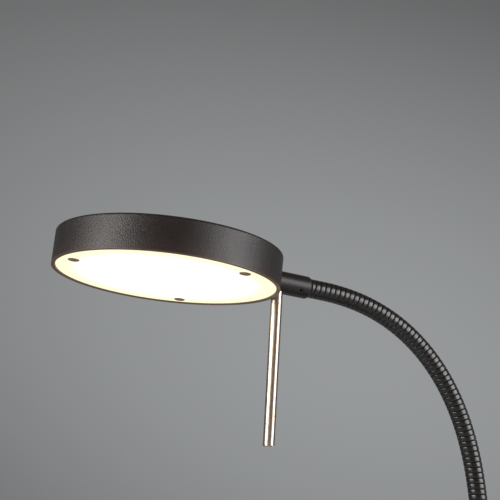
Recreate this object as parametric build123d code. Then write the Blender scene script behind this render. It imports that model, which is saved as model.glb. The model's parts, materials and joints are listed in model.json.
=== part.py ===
"""Piano lamp: a flat round LED head on a flexible gooseneck, a short stem and a weighted round base.

Millimetres. The origin is the centre of the base's underside, +Z is up, and the neck bends in the XZ
plane, with the head towards -X. The neck is a chain of short ribbed links. Each link is straight, and the
bend that the neck stands in is shared out among the hinge points between the links.
"""

import os
from math import cos, radians, sin

from build123d import *

# ---- clearances -------------------------------------------------------------------------------------
FIT = 0.1  # radial play of a fixed piece in its bore
SEAT_PLAY = 0.2  # gap behind a piece that is held elsewhere
RUNNING_PLAY = 0.06  # radial gap round a piece that slides
OVERCUT = 1.0  # how far a cutting body reaches past the face that it opens

# ---- neck -------------------------------------------------------------------------------------------
LINK_COUNT = 12
TURNS_PER_LINK = 6
TURN_PITCH = 4.1
NECK_RIDGE_RADIUS = 7.0
NECK_GROOVE_DEPTH = 1.0
NECK_GROOVE_WIDTH = 1.4
NECK_BORE_RADIUS = 2.8
HEAD_TILT = 6.535  # the head's far edge stands this many degrees higher than its neck side
BEND_NEAR_HEAD = 0.482  # exponents of the law that shares the bend out along the neck
BEND_NEAR_STEM = 1.161
NOSE_RADIUS = 5.2  # at the hinge point
NOSE_LENGTH = 3.4
NOSE_TAPER = 0.3  # fall of the nose's radius for each millimetre of its length
NOSE_ROOT = 2.0
NOSE_FLARE = 0.5
NOSE_FLARE_ROOT = 5.0
SOCKET_FLOOR_GAP = 1.2
SPIGOT_LENGTH = 12.0
SPIGOT_RADIUS = 5.2
LEAD_RADIUS = 1.7
LEAD_END_GAP = 0.35

LINK_LENGTH = TURNS_PER_LINK * TURN_PITCH
NECK_VALLEY_RADIUS = NECK_RIDGE_RADIUS - NECK_GROOVE_DEPTH
HINGE_GAP = NECK_GROOVE_WIDTH
TOTAL_BEND = 90 - HEAD_TILT

# ---- collars at both ends of the neck ---------------------------------------------------------------
COLLAR_RADIUS = 8.25
COLLAR_LENGTH = 31.5
COLLAR_EDGE = 1.6
COLLAR_BORE_DEPTH = SPIGOT_LENGTH + SEAT_PLAY
COLLAR_WIRE_RADIUS = 2.8
SET_SCREW_RADIUS = 2.25
SET_SCREW_FROM_END = 8.7
SET_SCREW_TURN = 34.0  # below the horizontal on the head's collar
SET_SCREW_SOCKET_RADIUS = 1.15
SET_SCREW_SOCKET_DEPTH = 1.4
SET_SCREW_SINK = 0.3

# ---- head -------------------------------------------------------------------------------------------
DRUM_RADIUS = 80.0  # at the open rim
DRUM_HEIGHT = 24.4
DRUM_DRAFT = 0.1  # the closed side is smaller by this much in radius
DRUM_EDGE = 1.6
DRUM_WALL = 3.6
DRUM_ROOF = 2.5
RIM_WALL = 2.6
DIFFUSER_RECESS = 0.8
DIFFUSER_THICKNESS = 3.0
DIFFUSER_PLAY = 0.3
POST_RADIUS = 5.0
POST_TO_WALL = 4.0
POST_WEB = 3.0
POST_ANGLES = (60, 180, 300)
DIFFUSER_SCREW_RADIUS = 2.0
DIFFUSER_SCREW_HEAD_RADIUS = 4.0
DIFFUSER_SCREW_HEAD_HEIGHT = 1.0
DIFFUSER_SCREW_LENGTH = 10.0
SCREW_RECESS_RADIUS = 1.1
SCREW_RECESS_DEPTH = 0.9

COLLAR_AXIS_HEIGHT = 14.5
COLLAR_SEAT_SINK = 1.0  # the flat seat lies this far inside the drum's rim radius
COLLAR_BOSS_DEPTH = 6.4
COLLAR_BOSS_WIDTH = 24.0
SHANK_RADIUS = 5.0
SHANK_TIP = 1.3  # what shows of the shank past its nut
COLLAR_WASHER_RADIUS = 6.8
WASHER_THICKNESS = 1.2
COLLAR_NUT_FLATS = 13.0
COLLAR_NUT_HEIGHT = 5.0

BOARD_TO_POSTS = 6.4
BOARD_THICKNESS = 1.6
BOARD_SCREW_FROM_EDGE = 6.0
BOARD_SCREW_RADIUS = 1.5
BOARD_SCREW_HEAD_RADIUS = 2.8
BOARD_SCREW_HEAD_HEIGHT = 1.8
BOARD_SCREW_BITE = 1.8
BOARD_SCREW_ANGLES = (0, 120, 240)
CHIP_SIZE = 3.5
CHIP_THICKNESS = 0.8
CHIP_RING_COUNT = 3
FIRST_RING_CHIP_COUNT = 6
CHIP_RING_STEP = 13.5
REFLECTOR_TO_BOARD = 1.0
REFLECTOR_TO_POSTS = 0.6
REFLECTOR_WALL = 0.8
REFLECTOR_HOLE_RADIUS = 3.4
TERMINAL_LENGTH = 10.0
TERMINAL_WIDTH = 9.0
TERMINAL_HEIGHT = 8.0
TERMINAL_FACE = 37.0  # the terminal's outer face from the drum's axis

# ---- handle rod -------------------------------------------------------------------------------------
ROD_RADIUS = 4.2
ROD_LENGTH = 111.2
ROD_FROM_SEAT = 7.0  # from the collar's flat seat to the top of the rod
ROD_SEAT_SINK = 0.9
ROD_LEAN = 2.8  # degrees off the drum's axis, with the foot away from the drum
ROD_END_CHAMFER = 0.6
ROD_STUD_RADIUS = 2.5
ROD_STUD_LENGTH = 4.0

# ---- stem -------------------------------------------------------------------------------------------
NECK_ROOT_HEIGHT = 150.0
STEM_RADIUS = 8.0
STEM_BORE_RADIUS = 5.0
STEM_SPIGOT_RADIUS = 6.0
STEM_SPIGOT_LENGTH = 11.0
STEM_TIP = 0.3  # what shows of the stem past its nut
FLANGE_RADIUS = 18.0
FLANGE_HEIGHT = 7.0
FLANGE_SLOPE = 4.0
STEM_WASHER_RADIUS = 14.0
STEM_NUT_FLATS = 24.0
STEM_NUT_HEIGHT = 4.0
NUT_ROOM_RADIUS = 15.5

# ---- base -------------------------------------------------------------------------------------------
BASE_RADIUS = 100.0
BASE_HEIGHT = 20.0
PAD_SETBACK = 5.0
PAD_THICKNESS = 2.0
COVER_WALL = 1.5
COVER_EDGE = 5.0
PLATE_THICKNESS = 1.6
WEIGHT_WEB = 3.0
WEIGHT_EDGE = 4.5
WEIGHT_GAP = 1.0
PLATE_SCREW_FROM_EDGE = 20.0
PLATE_SCREW_RADIUS = 2.0
PLATE_SCREW_HEAD_RADIUS = 3.6
PLATE_SCREW_LENGTH = 9.0
PLATE_SCREW_ANGLES = (45, 135, 225, 315)
DRIVER_LENGTH = 58.0
DRIVER_WIDTH = 32.0
DRIVER_HEIGHT = 11.0
DRIVER_TO_NUT_ROOM = 2.5
DRIVER_EDGE = 1.5
POCKET_PLAY = 1.0
LEAD_BEND_RADIUS = 7.0
LEAD_TO_PLATE = 0.7

# ---- cord gland -------------------------------------------------------------------------------------
GLAND_RADIUS = 4.6
GLAND_BORE_RADIUS = 3.1
GLAND_FLANGE_RADIUS = 6.6
GLAND_FLANGE_THICKNESS = 2.0
GLAND_NOSE_LENGTH = 5.0
GLAND_INNER_LENGTH = 9.0
GLAND_NUT_FLATS = 11.0
GLAND_NUT_HEIGHT = 3.0
GLAND_NUT_GAP = 0.6  # the flat nut stands off the curved wall by this much in the middle
GLAND_ROOM_PLAY = 2.0

# ---- switch -----------------------------------------------------------------------------------------
SWITCH_FROM_EDGE = 42.0
BUTTON_RADIUS = 7.5
BUTTON_RISE = 3.0
BUTTON_LENGTH = 7.4
BUTTON_TRAVEL = 2.0
BUTTON_EDGE = 0.8
BEZEL_RADIUS = 11.0
BEZEL_HEIGHT = 2.0
BEZEL_EDGE = 0.6
BARREL_RADIUS = 9.2
BARREL_LENGTH = 14.0
SWITCH_NUT_FLATS = 23.0
SWITCH_NUT_HEIGHT = 3.0
SWITCH_ROOM_PLAY = 0.9
WELL_PLAY = 0.3  # room under the button at the end of its travel
SWITCH_LEAD_RADIUS = 1.2
SWITCH_LEAD_Y = 5.0

# ---- levels that several pieces share ---------------------------------------------------------------
COVER_INNER_TOP = BASE_HEIGHT - COVER_WALL
COVER_INNER_RADIUS = BASE_RADIUS - COVER_WALL
PLATE_TOP = PAD_THICKNESS + PLATE_THICKNESS
WEIGHT_RADIUS = COVER_INNER_RADIUS - WEIGHT_GAP
WEB_UNDERSIDE = COVER_INNER_TOP - WEIGHT_WEB
STEM_NUT_TOP = WEB_UNDERSIDE - WASHER_THICKNESS
STEM_FOOT = STEM_NUT_TOP - STEM_NUT_HEIGHT - STEM_TIP
LEAD_FLOOR_HEIGHT = PLATE_TOP + LEAD_TO_PLATE + LEAD_RADIUS
CHANNEL_TOP = LEAD_FLOOR_HEIGHT + LEAD_RADIUS + POCKET_PLAY
DRIVER_FACE = NUT_ROOM_RADIUS + DRIVER_TO_NUT_ROOM
GLAND_HEIGHT = PLATE_TOP + SEAT_PLAY + GLAND_NUT_FLATS / 2
SWITCH_X = SWITCH_FROM_EDGE - BASE_RADIUS
SWITCH_ROOM_RADIUS = SWITCH_NUT_FLATS / 2 / cos(radians(30)) + SWITCH_ROOM_PLAY
DIFFUSER_TOP = DIFFUSER_RECESS + DIFFUSER_THICKNESS
RIM_INNER_RADIUS = DRUM_RADIUS - RIM_WALL
DRUM_INNER_RADIUS = DRUM_RADIUS - DRUM_WALL
ROOF_UNDERSIDE = DRUM_HEIGHT - DRUM_ROOF
POST_CIRCLE = DRUM_INNER_RADIUS - POST_TO_WALL - POST_RADIUS
BOARD_RADIUS = POST_CIRCLE - POST_RADIUS - BOARD_TO_POSTS
BOARD_SCREW_CIRCLE = BOARD_RADIUS - BOARD_SCREW_FROM_EDGE
COLLAR_SEAT = DRUM_RADIUS - COLLAR_SEAT_SINK
COLLAR_BOSS_INNER = DRUM_INNER_RADIUS - COLLAR_BOSS_DEPTH
SHANK_LENGTH = COLLAR_SEAT - COLLAR_BOSS_INNER + WASHER_THICKNESS + COLLAR_NUT_HEIGHT + SHANK_TIP
BOARD_UNDERSIDE = ROOF_UNDERSIDE - BOARD_THICKNESS
BIG = 400.0


# ---- helpers ----------------------------------------------------------------------------------------
def turned(*outline):
    """A solid of revolution about Z from (radius, height) points."""
    return revolve(make_face(Plane.XZ * Polyline(*outline, close=True)), Axis.Z)


def rod(radius, bottom, top):
    """A round bar on Z between two heights."""
    return Pos(0, 0, bottom) * extrude(Circle(radius), top - bottom)


def ring(outer, inner, bottom, top):
    """A round bar on Z with a round hole."""
    return rod(outer, bottom, top) - rod(inner, bottom - OVERCUT, top + OVERCUT)


def block(x0, x1, y0, y1, z0, z1):
    """A box between two corners."""
    centre = Pos((x0 + x1) / 2, (y0 + y1) / 2, (z0 + z1) / 2)
    return centre * Box(x1 - x0, y1 - y0, z1 - z0)


def hexagon(flats, bore, bottom, top):
    """A hexagon nut on Z with a plain bore."""
    prism = Pos(0, 0, bottom) * extrude(RegularPolygon(flats / 2, 6, major_radius=False), top - bottom)
    return prism - rod(bore, bottom - OVERCUT, top + OVERCUT)


def around(radius, angles, piece):
    """Copies of a piece, moved out along X and turned about Z."""
    return [Rot(0, 0, angle) * Pos(radius, 0, 0) * piece for angle in angles]


def along_x(x, height):
    """The frame on the X axis at a height, whose Z points towards +X."""
    return Plane(origin=(x, 0, height), x_dir=(0, 1, 0), z_dir=(1, 0, 0)).location


# ---- the neck's line --------------------------------------------------------------------------------
def hinge_bends():
    """The bend in degrees at each hinge point, from the stem to the head."""
    shares = []
    for hinge in range(1, LINK_COUNT):
        from_head = (LINK_COUNT - hinge) / LINK_COUNT
        shares.append(from_head**BEND_NEAR_HEAD * (1 - from_head) ** BEND_NEAR_STEM)
    return [TOTAL_BEND * share / sum(shares) for share in shares]


def frame_at(point, slope):
    """A frame on the neck's line, with Z along the neck and leaning to -X by the slope in degrees."""
    lean = radians(slope)
    return Plane(origin=point, x_dir=(cos(lean), 0, sin(lean)), z_dir=(-sin(lean), 0, cos(lean)))


def neck_frames():
    """The frame at the foot of each link and at each hinge point, and the frame at the neck's end."""
    links = []
    hinges = []
    point = Vector(0, 0, NECK_ROOT_HEIGHT)
    slope = 0.0
    for bend in hinge_bends() + [0.0]:
        frame = frame_at(point, slope)
        links.append(frame.location)
        point = point + frame.z_dir * LINK_LENGTH
        hinges.append(frame_at(point, slope + bend / 2).location)
        slope += bend
    end = frame_at(point, slope)
    return links, hinges[:-1], end


LINK_FRAMES, HINGE_FRAMES, NECK_END = neck_frames()


def head_frame():
    """The drum's frame: origin in the middle of the open rim's plane, X towards the neck, Z to the roof."""
    out = COLLAR_SEAT + COLLAR_LENGTH
    origin = NECK_END.origin + NECK_END.z_dir * out - NECK_END.x_dir * COLLAR_AXIS_HEIGHT
    return Plane(origin=origin, x_dir=-NECK_END.z_dir, z_dir=NECK_END.x_dir).location


HEAD = head_frame()


# ---- neck pieces ------------------------------------------------------------------------------------
def ribbed_bar():
    """The wound outside of one link, with half a groove at each end."""
    half = NECK_GROOVE_WIDTH / 2
    outline = [(0, 0), (NECK_VALLEY_RADIUS, 0)]
    for turn in range(TURNS_PER_LINK):
        low = turn * TURN_PITCH + half
        high = low + TURN_PITCH - NECK_GROOVE_WIDTH
        outline += [(NECK_VALLEY_RADIUS, low), (NECK_RIDGE_RADIUS, low)]
        outline += [(NECK_RIDGE_RADIUS, high), (NECK_VALLEY_RADIUS, high)]
    return turned(*outline, (NECK_VALLEY_RADIUS, LINK_LENGTH), (0, LINK_LENGTH))


def hinge_nose():
    """The tapered nose round a hinge point, which the next link's socket takes in."""
    root_radius = NOSE_RADIUS + NOSE_TAPER * NOSE_ROOT
    tip_radius = NOSE_RADIUS - NOSE_TAPER * NOSE_LENGTH
    return turned((0, -NOSE_ROOT), (root_radius, -NOSE_ROOT), (tip_radius, NOSE_LENGTH), (0, NOSE_LENGTH))


def nose_bore():
    """The nose's hole, which widens out of the link's bore so that the lead can turn in it."""
    end = NOSE_LENGTH + SEAT_PLAY
    narrow = NECK_BORE_RADIUS - NOSE_FLARE
    wide = NECK_BORE_RADIUS + NOSE_FLARE
    return turned((0, -NOSE_FLARE_ROOT), (narrow, -NOSE_FLARE_ROOT), (wide, end), (0, end))


def beyond_hinge(side):
    """The space on one side of a hinge point's gap: side is 1 for the head's side and -1 for the stem's."""
    edge = side * -HINGE_GAP / 2
    return Pos(0, 0, edge + side * LINK_LENGTH / 2) * Box(4 * COLLAR_RADIUS, 4 * COLLAR_RADIUS, LINK_LENGTH)


def neck_link(index):
    """One link of the neck. The first and the last end in a plain spigot for their collar."""
    frame = LINK_FRAMES[index]
    link = frame * ribbed_bar()
    low = 0.0
    high = LINK_LENGTH
    if index == 0:
        low = -SPIGOT_LENGTH
        link += frame * rod(SPIGOT_RADIUS, low, OVERCUT)
    else:
        hinge = HINGE_FRAMES[index - 1]
        floor = NOSE_LENGTH + SOCKET_FLOOR_GAP
        link += frame * rod(NECK_RIDGE_RADIUS, 0, NECK_GROOVE_WIDTH)
        link -= hinge * beyond_hinge(-1)
        link -= hinge * rod(NOSE_RADIUS + SEAT_PLAY, -OVERCUT, floor)
    if index == LINK_COUNT - 1:
        high = LINK_LENGTH + SPIGOT_LENGTH
        link += frame * rod(SPIGOT_RADIUS, LINK_LENGTH - OVERCUT, high)
    else:
        hinge = HINGE_FRAMES[index]
        link += frame * rod(NECK_RIDGE_RADIUS, LINK_LENGTH - NECK_GROOVE_WIDTH, LINK_LENGTH)
        link -= hinge * beyond_hinge(1)
        link += hinge * hinge_nose()
        link -= hinge * nose_bore()
    return link - frame * rod(NECK_BORE_RADIUS, low - OVERCUT, high + NOSE_LENGTH + OVERCUT)


def neck_lead(index):
    """The stretch of the lead that one link holds."""
    low = 0.0 if index == 0 else LEAD_END_GAP
    high = LINK_LENGTH if index == LINK_COUNT - 1 else LINK_LENGTH - LEAD_END_GAP
    return LINK_FRAMES[index] * rod(LEAD_RADIUS, low, high)


# ---- collars ----------------------------------------------------------------------------------------
def set_screw_frame(turn):
    """A set screw's frame in a collar whose mouth is at height 0: Z points out of the collar."""
    side = radians(turn)
    return Plane(
        origin=(0, 0, -SET_SCREW_FROM_END),
        x_dir=(0, 0, 1),
        z_dir=(-sin(side), -cos(side), 0),
    ).location


def collar_blank(turn):
    """The turned collar below its mouth at height 0, with the neck's bore and the set screw's hole."""
    outline = (
        (0, -COLLAR_LENGTH),
        (COLLAR_RADIUS, -COLLAR_LENGTH),
        (COLLAR_RADIUS, -COLLAR_EDGE),
        (COLLAR_RADIUS - COLLAR_EDGE / 3, -COLLAR_EDGE / 3),
        (COLLAR_RADIUS - COLLAR_EDGE, 0),
        (0, 0),
    )
    collar = turned(*outline)
    collar -= rod(SPIGOT_RADIUS + FIT, -COLLAR_BORE_DEPTH, OVERCUT)
    collar -= rod(COLLAR_WIRE_RADIUS, -COLLAR_LENGTH - OVERCUT, 0)
    return collar - set_screw_frame(turn) * rod(SET_SCREW_RADIUS + FIT, 0, COLLAR_RADIUS + OVERCUT)


def set_screw(turn):
    """A headless screw with a hexagon socket, tight against the neck's spigot."""
    face = COLLAR_RADIUS - SET_SCREW_SINK
    socket = RegularPolygon(SET_SCREW_SOCKET_RADIUS, 6)
    screw = rod(SET_SCREW_RADIUS, SPIGOT_RADIUS + FIT, face)
    screw -= Pos(0, 0, face - SET_SCREW_SOCKET_DEPTH) * extrude(socket, SET_SCREW_SOCKET_DEPTH + OVERCUT)
    return set_screw_frame(turn) * screw


UPPER_MOUTH = Plane(origin=NECK_END.origin, x_dir=-NECK_END.x_dir, z_dir=-NECK_END.z_dir).location
LOWER_MOUTH = LINK_FRAMES[0]


def rod_seat():
    """The handle rod's frame in the drum's frame: its origin is the seat, and Z runs down the rod."""
    lean = radians(ROD_LEAN)
    seat_height = COLLAR_AXIS_HEIGHT - COLLAR_RADIUS + ROD_SEAT_SINK
    return Plane(
        origin=(COLLAR_SEAT + ROD_FROM_SEAT, 0, seat_height),
        x_dir=(0, 1, 0),
        z_dir=(sin(lean), 0, -cos(lean)),
    ).location


def neck_collar_upper():
    """The collar on the drum: neck bore, rod seat, and a hollow threaded shank through the drum's wall."""
    collar = UPPER_MOUTH * collar_blank(-SET_SCREW_TURN)
    shank = ring(SHANK_RADIUS, COLLAR_WIRE_RADIUS, -SHANK_LENGTH, OVERCUT)
    collar += HEAD * along_x(COLLAR_SEAT, COLLAR_AXIS_HEIGHT) * shank
    collar -= HEAD * rod_seat() * rod(ROD_RADIUS + FIT, 0, COLLAR_RADIUS)
    return collar - HEAD * rod_seat() * rod(ROD_STUD_RADIUS + FIT, -ROD_STUD_LENGTH - SEAT_PLAY, OVERCUT)


def neck_collar_lower():
    """The collar on the stem."""
    collar = LOWER_MOUTH * collar_blank(0)
    socket_top = NECK_ROOT_HEIGHT - COLLAR_LENGTH + STEM_SPIGOT_LENGTH + SEAT_PLAY
    return collar - rod(STEM_SPIGOT_RADIUS + FIT, NECK_ROOT_HEIGHT - COLLAR_LENGTH - OVERCUT, socket_top)


def handle_rod():
    """The plain round handle that hangs from the collar beside the drum."""
    edge = ROD_RADIUS - ROD_END_CHAMFER
    body = turned(
        (0, -ROD_STUD_LENGTH),
        (ROD_STUD_RADIUS, -ROD_STUD_LENGTH),
        (ROD_STUD_RADIUS, 0),
        (ROD_RADIUS, 0),
        (ROD_RADIUS, ROD_LENGTH - ROD_END_CHAMFER),
        (edge, ROD_LENGTH),
        (0, ROD_LENGTH),
    )
    return HEAD * rod_seat() * body


# ---- head -------------------------------------------------------------------------------------------
def drum_shell():
    """The drum's wall and roof with the ledge that the diffuser meets."""
    roof_radius = DRUM_RADIUS - DRUM_DRAFT
    shell = turned((0, 0), (DRUM_RADIUS, 0), (roof_radius, DRUM_HEIGHT), (0, DRUM_HEIGHT))
    rim = shell.edges().filter_by(GeomType.CIRCLE).sort_by(Axis.Z)[-1]
    shell = fillet(rim, DRUM_EDGE)
    shell -= rod(RIM_INNER_RADIUS, -OVERCUT, DIFFUSER_TOP)
    return shell - rod(DRUM_INNER_RADIUS, -OVERCUT, ROOF_UNDERSIDE)


def screw_post():
    """A post for one diffuser screw with the web that ties it to the wall, at the origin."""
    top = ROOF_UNDERSIDE + OVERCUT
    post = rod(POST_RADIUS, DIFFUSER_TOP, top)
    reach = DRUM_INNER_RADIUS - POST_CIRCLE + OVERCUT
    return post + block(0, reach, -POST_WEB / 2, POST_WEB / 2, DIFFUSER_TOP, top)


def collar_boss():
    """The solid stretch of wall behind the collar's seat."""
    half = COLLAR_BOSS_WIDTH / 2
    top = ROOF_UNDERSIDE + OVERCUT
    return block(COLLAR_BOSS_INNER, DRUM_INNER_RADIUS, -half, half, DIFFUSER_TOP, top)


def head_housing():
    """The drum with its posts, its boss and every hole."""
    housing = drum_shell() + collar_boss()
    for post in around(POST_CIRCLE, POST_ANGLES, screw_post()):
        housing += post
    depth = DIFFUSER_SCREW_LENGTH + SEAT_PLAY
    for hole in around(POST_CIRCLE, POST_ANGLES, rod(DIFFUSER_SCREW_RADIUS + FIT, 0, depth)):
        housing -= hole
    bite = ROOF_UNDERSIDE + BOARD_SCREW_BITE + FIT
    hole = rod(BOARD_SCREW_RADIUS + FIT, ROOF_UNDERSIDE - OVERCUT, bite)
    for copy in around(BOARD_SCREW_CIRCLE, BOARD_SCREW_ANGLES, hole):
        housing -= copy
    seat = along_x(COLLAR_SEAT, COLLAR_AXIS_HEIGHT)
    housing -= seat * rod(COLLAR_RADIUS + FIT, 0, DRUM_WALL)
    housing -= seat * rod(SHANK_RADIUS + FIT, -SHANK_LENGTH, OVERCUT)
    return HEAD * housing


def collar_washer():
    """The washer under the collar's nut."""
    washer = ring(COLLAR_WASHER_RADIUS, SHANK_RADIUS + FIT, -WASHER_THICKNESS, 0)
    return HEAD * along_x(COLLAR_BOSS_INNER, COLLAR_AXIS_HEIGHT) * washer


def collar_nut():
    """The nut that pulls the collar against the drum."""
    top = -WASHER_THICKNESS
    nut = hexagon(COLLAR_NUT_FLATS, SHANK_RADIUS + FIT, top - COLLAR_NUT_HEIGHT, top)
    return HEAD * along_x(COLLAR_BOSS_INNER, COLLAR_AXIS_HEIGHT) * nut


def led_board():
    """The round board that carries the light sources, flat against the roof."""
    board = rod(BOARD_RADIUS, BOARD_UNDERSIDE, ROOF_UNDERSIDE)
    hole = rod(BOARD_SCREW_RADIUS + FIT, BOARD_UNDERSIDE - OVERCUT, ROOF_UNDERSIDE + OVERCUT)
    for copy in around(BOARD_SCREW_CIRCLE, BOARD_SCREW_ANGLES, hole):
        board -= copy
    return HEAD * board


def led_chips():
    """The light sources in rings on the board's underside."""
    half = CHIP_SIZE / 2
    chip = block(-half, half, -half, half, BOARD_UNDERSIDE - CHIP_THICKNESS, BOARD_UNDERSIDE)
    chips = []
    for index in range(1, CHIP_RING_COUNT + 1):
        count = FIRST_RING_CHIP_COUNT * index
        angles = [(step + 0.5) * 360 / count for step in range(count)]
        chips += around(CHIP_RING_STEP * index, angles, chip)
    return HEAD * Compound(chips)


def led_board_screws():
    """Three pan-head screws that hold the board to the roof."""
    screw = rod(BOARD_SCREW_RADIUS, BOARD_UNDERSIDE - OVERCUT, ROOF_UNDERSIDE + BOARD_SCREW_BITE)
    screw += rod(BOARD_SCREW_HEAD_RADIUS, BOARD_UNDERSIDE - BOARD_SCREW_HEAD_HEIGHT, BOARD_UNDERSIDE)
    return HEAD * Compound(around(BOARD_SCREW_CIRCLE, BOARD_SCREW_ANGLES, screw))


def reflector_ring():
    """The white cone between the board and the diffuser, with a hole for the lead."""
    top = ROOF_UNDERSIDE - SEAT_PLAY
    mouth = DIFFUSER_TOP + SEAT_PLAY
    top_radius = BOARD_RADIUS + REFLECTOR_TO_BOARD
    mouth_radius = POST_CIRCLE - POST_RADIUS - REFLECTOR_TO_POSTS - REFLECTOR_WALL
    cone = turned(
        (top_radius, top),
        (top_radius + REFLECTOR_WALL, top),
        (mouth_radius + REFLECTOR_WALL, mouth),
        (mouth_radius, mouth),
    )
    hole = along_x(0, COLLAR_AXIS_HEIGHT) * rod(REFLECTOR_HOLE_RADIUS, 0, BIG)
    return HEAD * (cone - hole)


def head_terminal():
    """The terminal block on the board that takes the lead."""
    half = TERMINAL_WIDTH / 2
    inner = TERMINAL_FACE - TERMINAL_LENGTH
    bottom = BOARD_UNDERSIDE - TERMINAL_HEIGHT
    return HEAD * block(inner, TERMINAL_FACE, -half, half, bottom, BOARD_UNDERSIDE)


def head_lead():
    """The lead from the neck's end through the collar and its shank to the terminal."""
    run = rod(LEAD_RADIUS, TERMINAL_FACE, COLLAR_SEAT + COLLAR_LENGTH)
    return HEAD * along_x(0, COLLAR_AXIS_HEIGHT) * run


def diffuser():
    """The opal disc that closes the drum."""
    disc = rod(RIM_INNER_RADIUS - DIFFUSER_PLAY, DIFFUSER_RECESS, DIFFUSER_TOP)
    hole = rod(DIFFUSER_SCREW_RADIUS + FIT, 0, DIFFUSER_TOP + OVERCUT)
    for copy in around(POST_CIRCLE, POST_ANGLES, hole):
        disc -= copy
    return HEAD * disc


def diffuser_screws():
    """Three pan-head screws that hold the diffuser to the posts."""
    face = DIFFUSER_RECESS - DIFFUSER_SCREW_HEAD_HEIGHT
    crown = DIFFUSER_SCREW_HEAD_RADIUS - DIFFUSER_SCREW_HEAD_HEIGHT / 3
    screw = turned(
        (0, face),
        (crown, face),
        (DIFFUSER_SCREW_HEAD_RADIUS, face + DIFFUSER_SCREW_HEAD_HEIGHT / 3),
        (DIFFUSER_SCREW_HEAD_RADIUS, DIFFUSER_RECESS),
        (DIFFUSER_SCREW_RADIUS, DIFFUSER_RECESS),
        (DIFFUSER_SCREW_RADIUS, DIFFUSER_SCREW_LENGTH),
        (0, DIFFUSER_SCREW_LENGTH),
    )
    screw -= Pos(0, 0, face) * extrude(RegularPolygon(SCREW_RECESS_RADIUS, 6), SCREW_RECESS_DEPTH)
    return HEAD * Compound(around(POST_CIRCLE, POST_ANGLES, screw))


# ---- stem -------------------------------------------------------------------------------------------
def stem():
    """The rigid tube between the base and the lower collar, turned down at its top."""
    shoulder = NECK_ROOT_HEIGHT - COLLAR_LENGTH
    tube = rod(STEM_RADIUS, STEM_FOOT, shoulder)
    tip = shoulder + STEM_SPIGOT_LENGTH
    tube += rod(STEM_SPIGOT_RADIUS, shoulder - OVERCUT, tip)
    return tube - rod(STEM_BORE_RADIUS, STEM_FOOT - OVERCUT, tip + OVERCUT)


def stem_flange():
    """The turned foot that covers the stem's hole in the base."""
    top = BASE_HEIGHT + FLANGE_HEIGHT
    crown = STEM_RADIUS + (FLANGE_RADIUS - STEM_RADIUS) / 3
    return turned(
        (STEM_RADIUS + FIT, BASE_HEIGHT),
        (FLANGE_RADIUS, BASE_HEIGHT),
        (FLANGE_RADIUS, top - FLANGE_SLOPE),
        (crown, top),
        (STEM_RADIUS + FIT, top),
    )


def stem_washer():
    """The washer between the weight and the stem's nut."""
    return ring(STEM_WASHER_RADIUS, STEM_RADIUS + FIT, STEM_NUT_TOP, WEB_UNDERSIDE)


def stem_nut():
    """The nut that clamps the stem, the flange, the cover and the weight together."""
    return hexagon(STEM_NUT_FLATS, STEM_RADIUS + FIT, STEM_NUT_TOP - STEM_NUT_HEIGHT, STEM_NUT_TOP)


def stem_lead():
    """The lead from the driver round one bend and up through the stem."""
    path = FilletPolyline(
        (DRIVER_FACE, 0, LEAD_FLOOR_HEIGHT),
        (0, 0, LEAD_FLOOR_HEIGHT),
        (0, 0, NECK_ROOT_HEIGHT),
        radius=LEAD_BEND_RADIUS,
    )
    section = Plane(origin=(DRIVER_FACE, 0, LEAD_FLOOR_HEIGHT), z_dir=(-1, 0, 0)) * Circle(LEAD_RADIUS)
    return sweep(section, path)


# ---- base -------------------------------------------------------------------------------------------
def base_cover():
    """The pressed cover with its rounded edge and the holes for the stem, the switch and the gland."""
    cover = rod(BASE_RADIUS, PAD_THICKNESS, BASE_HEIGHT)
    cover = fillet(cover.edges().sort_by(Axis.Z)[-1], COVER_EDGE)
    inside = rod(COVER_INNER_RADIUS, PAD_THICKNESS - OVERCUT, COVER_INNER_TOP)
    inside = fillet(inside.edges().sort_by(Axis.Z)[-1], COVER_EDGE - COVER_WALL)
    cover -= inside
    cover -= rod(STEM_RADIUS + FIT, 0, BIG)
    cover -= Pos(SWITCH_X, 0, 0) * rod(BARREL_RADIUS + FIT, 0, BIG)
    return cover - along_x(0, GLAND_HEIGHT) * rod(GLAND_RADIUS + FIT, 0, BIG)


def weight_rooms():
    """The rooms that the weight leaves open from below: driver, lead channel, gland and nut."""
    half = DRIVER_WIDTH / 2 + POCKET_PLAY
    far = DRIVER_FACE + DRIVER_LENGTH + POCKET_PLAY
    driver_top = PLATE_TOP + DRIVER_HEIGHT + POCKET_PLAY
    side = SWITCH_LEAD_Y + LEAD_RADIUS + POCKET_PLAY
    gland_half = GLAND_NUT_FLATS / 2 / cos(radians(30)) + GLAND_ROOM_PLAY
    rooms = block(DRIVER_FACE - POCKET_PLAY, far, -half, half, 0, driver_top)
    rooms += block(SWITCH_X, DRIVER_FACE, LEAD_RADIUS - side, side, 0, CHANNEL_TOP)
    rooms += block(far - OVERCUT, BASE_RADIUS, -gland_half, gland_half, 0, GLAND_HEIGHT + gland_half)
    return rooms + rod(NUT_ROOM_RADIUS, 0, WEB_UNDERSIDE)


def base_weight():
    """The cast weight that fills the cover."""
    weight = turned(
        (0, PLATE_TOP),
        (WEIGHT_RADIUS, PLATE_TOP),
        (WEIGHT_RADIUS, COVER_INNER_TOP - WEIGHT_EDGE),
        (WEIGHT_RADIUS - WEIGHT_EDGE, COVER_INNER_TOP),
        (0, COVER_INNER_TOP),
    )
    weight -= weight_rooms()
    weight -= rod(STEM_RADIUS + FIT, 0, BIG)
    weight -= Pos(SWITCH_X, 0, 0) * rod(SWITCH_ROOM_RADIUS, 0, BIG)
    depth = PAD_THICKNESS + PLATE_SCREW_LENGTH + SEAT_PLAY
    for hole in plate_screws_around(rod(PLATE_SCREW_RADIUS + FIT, 0, depth)):
        weight -= hole
    return weight


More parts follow.
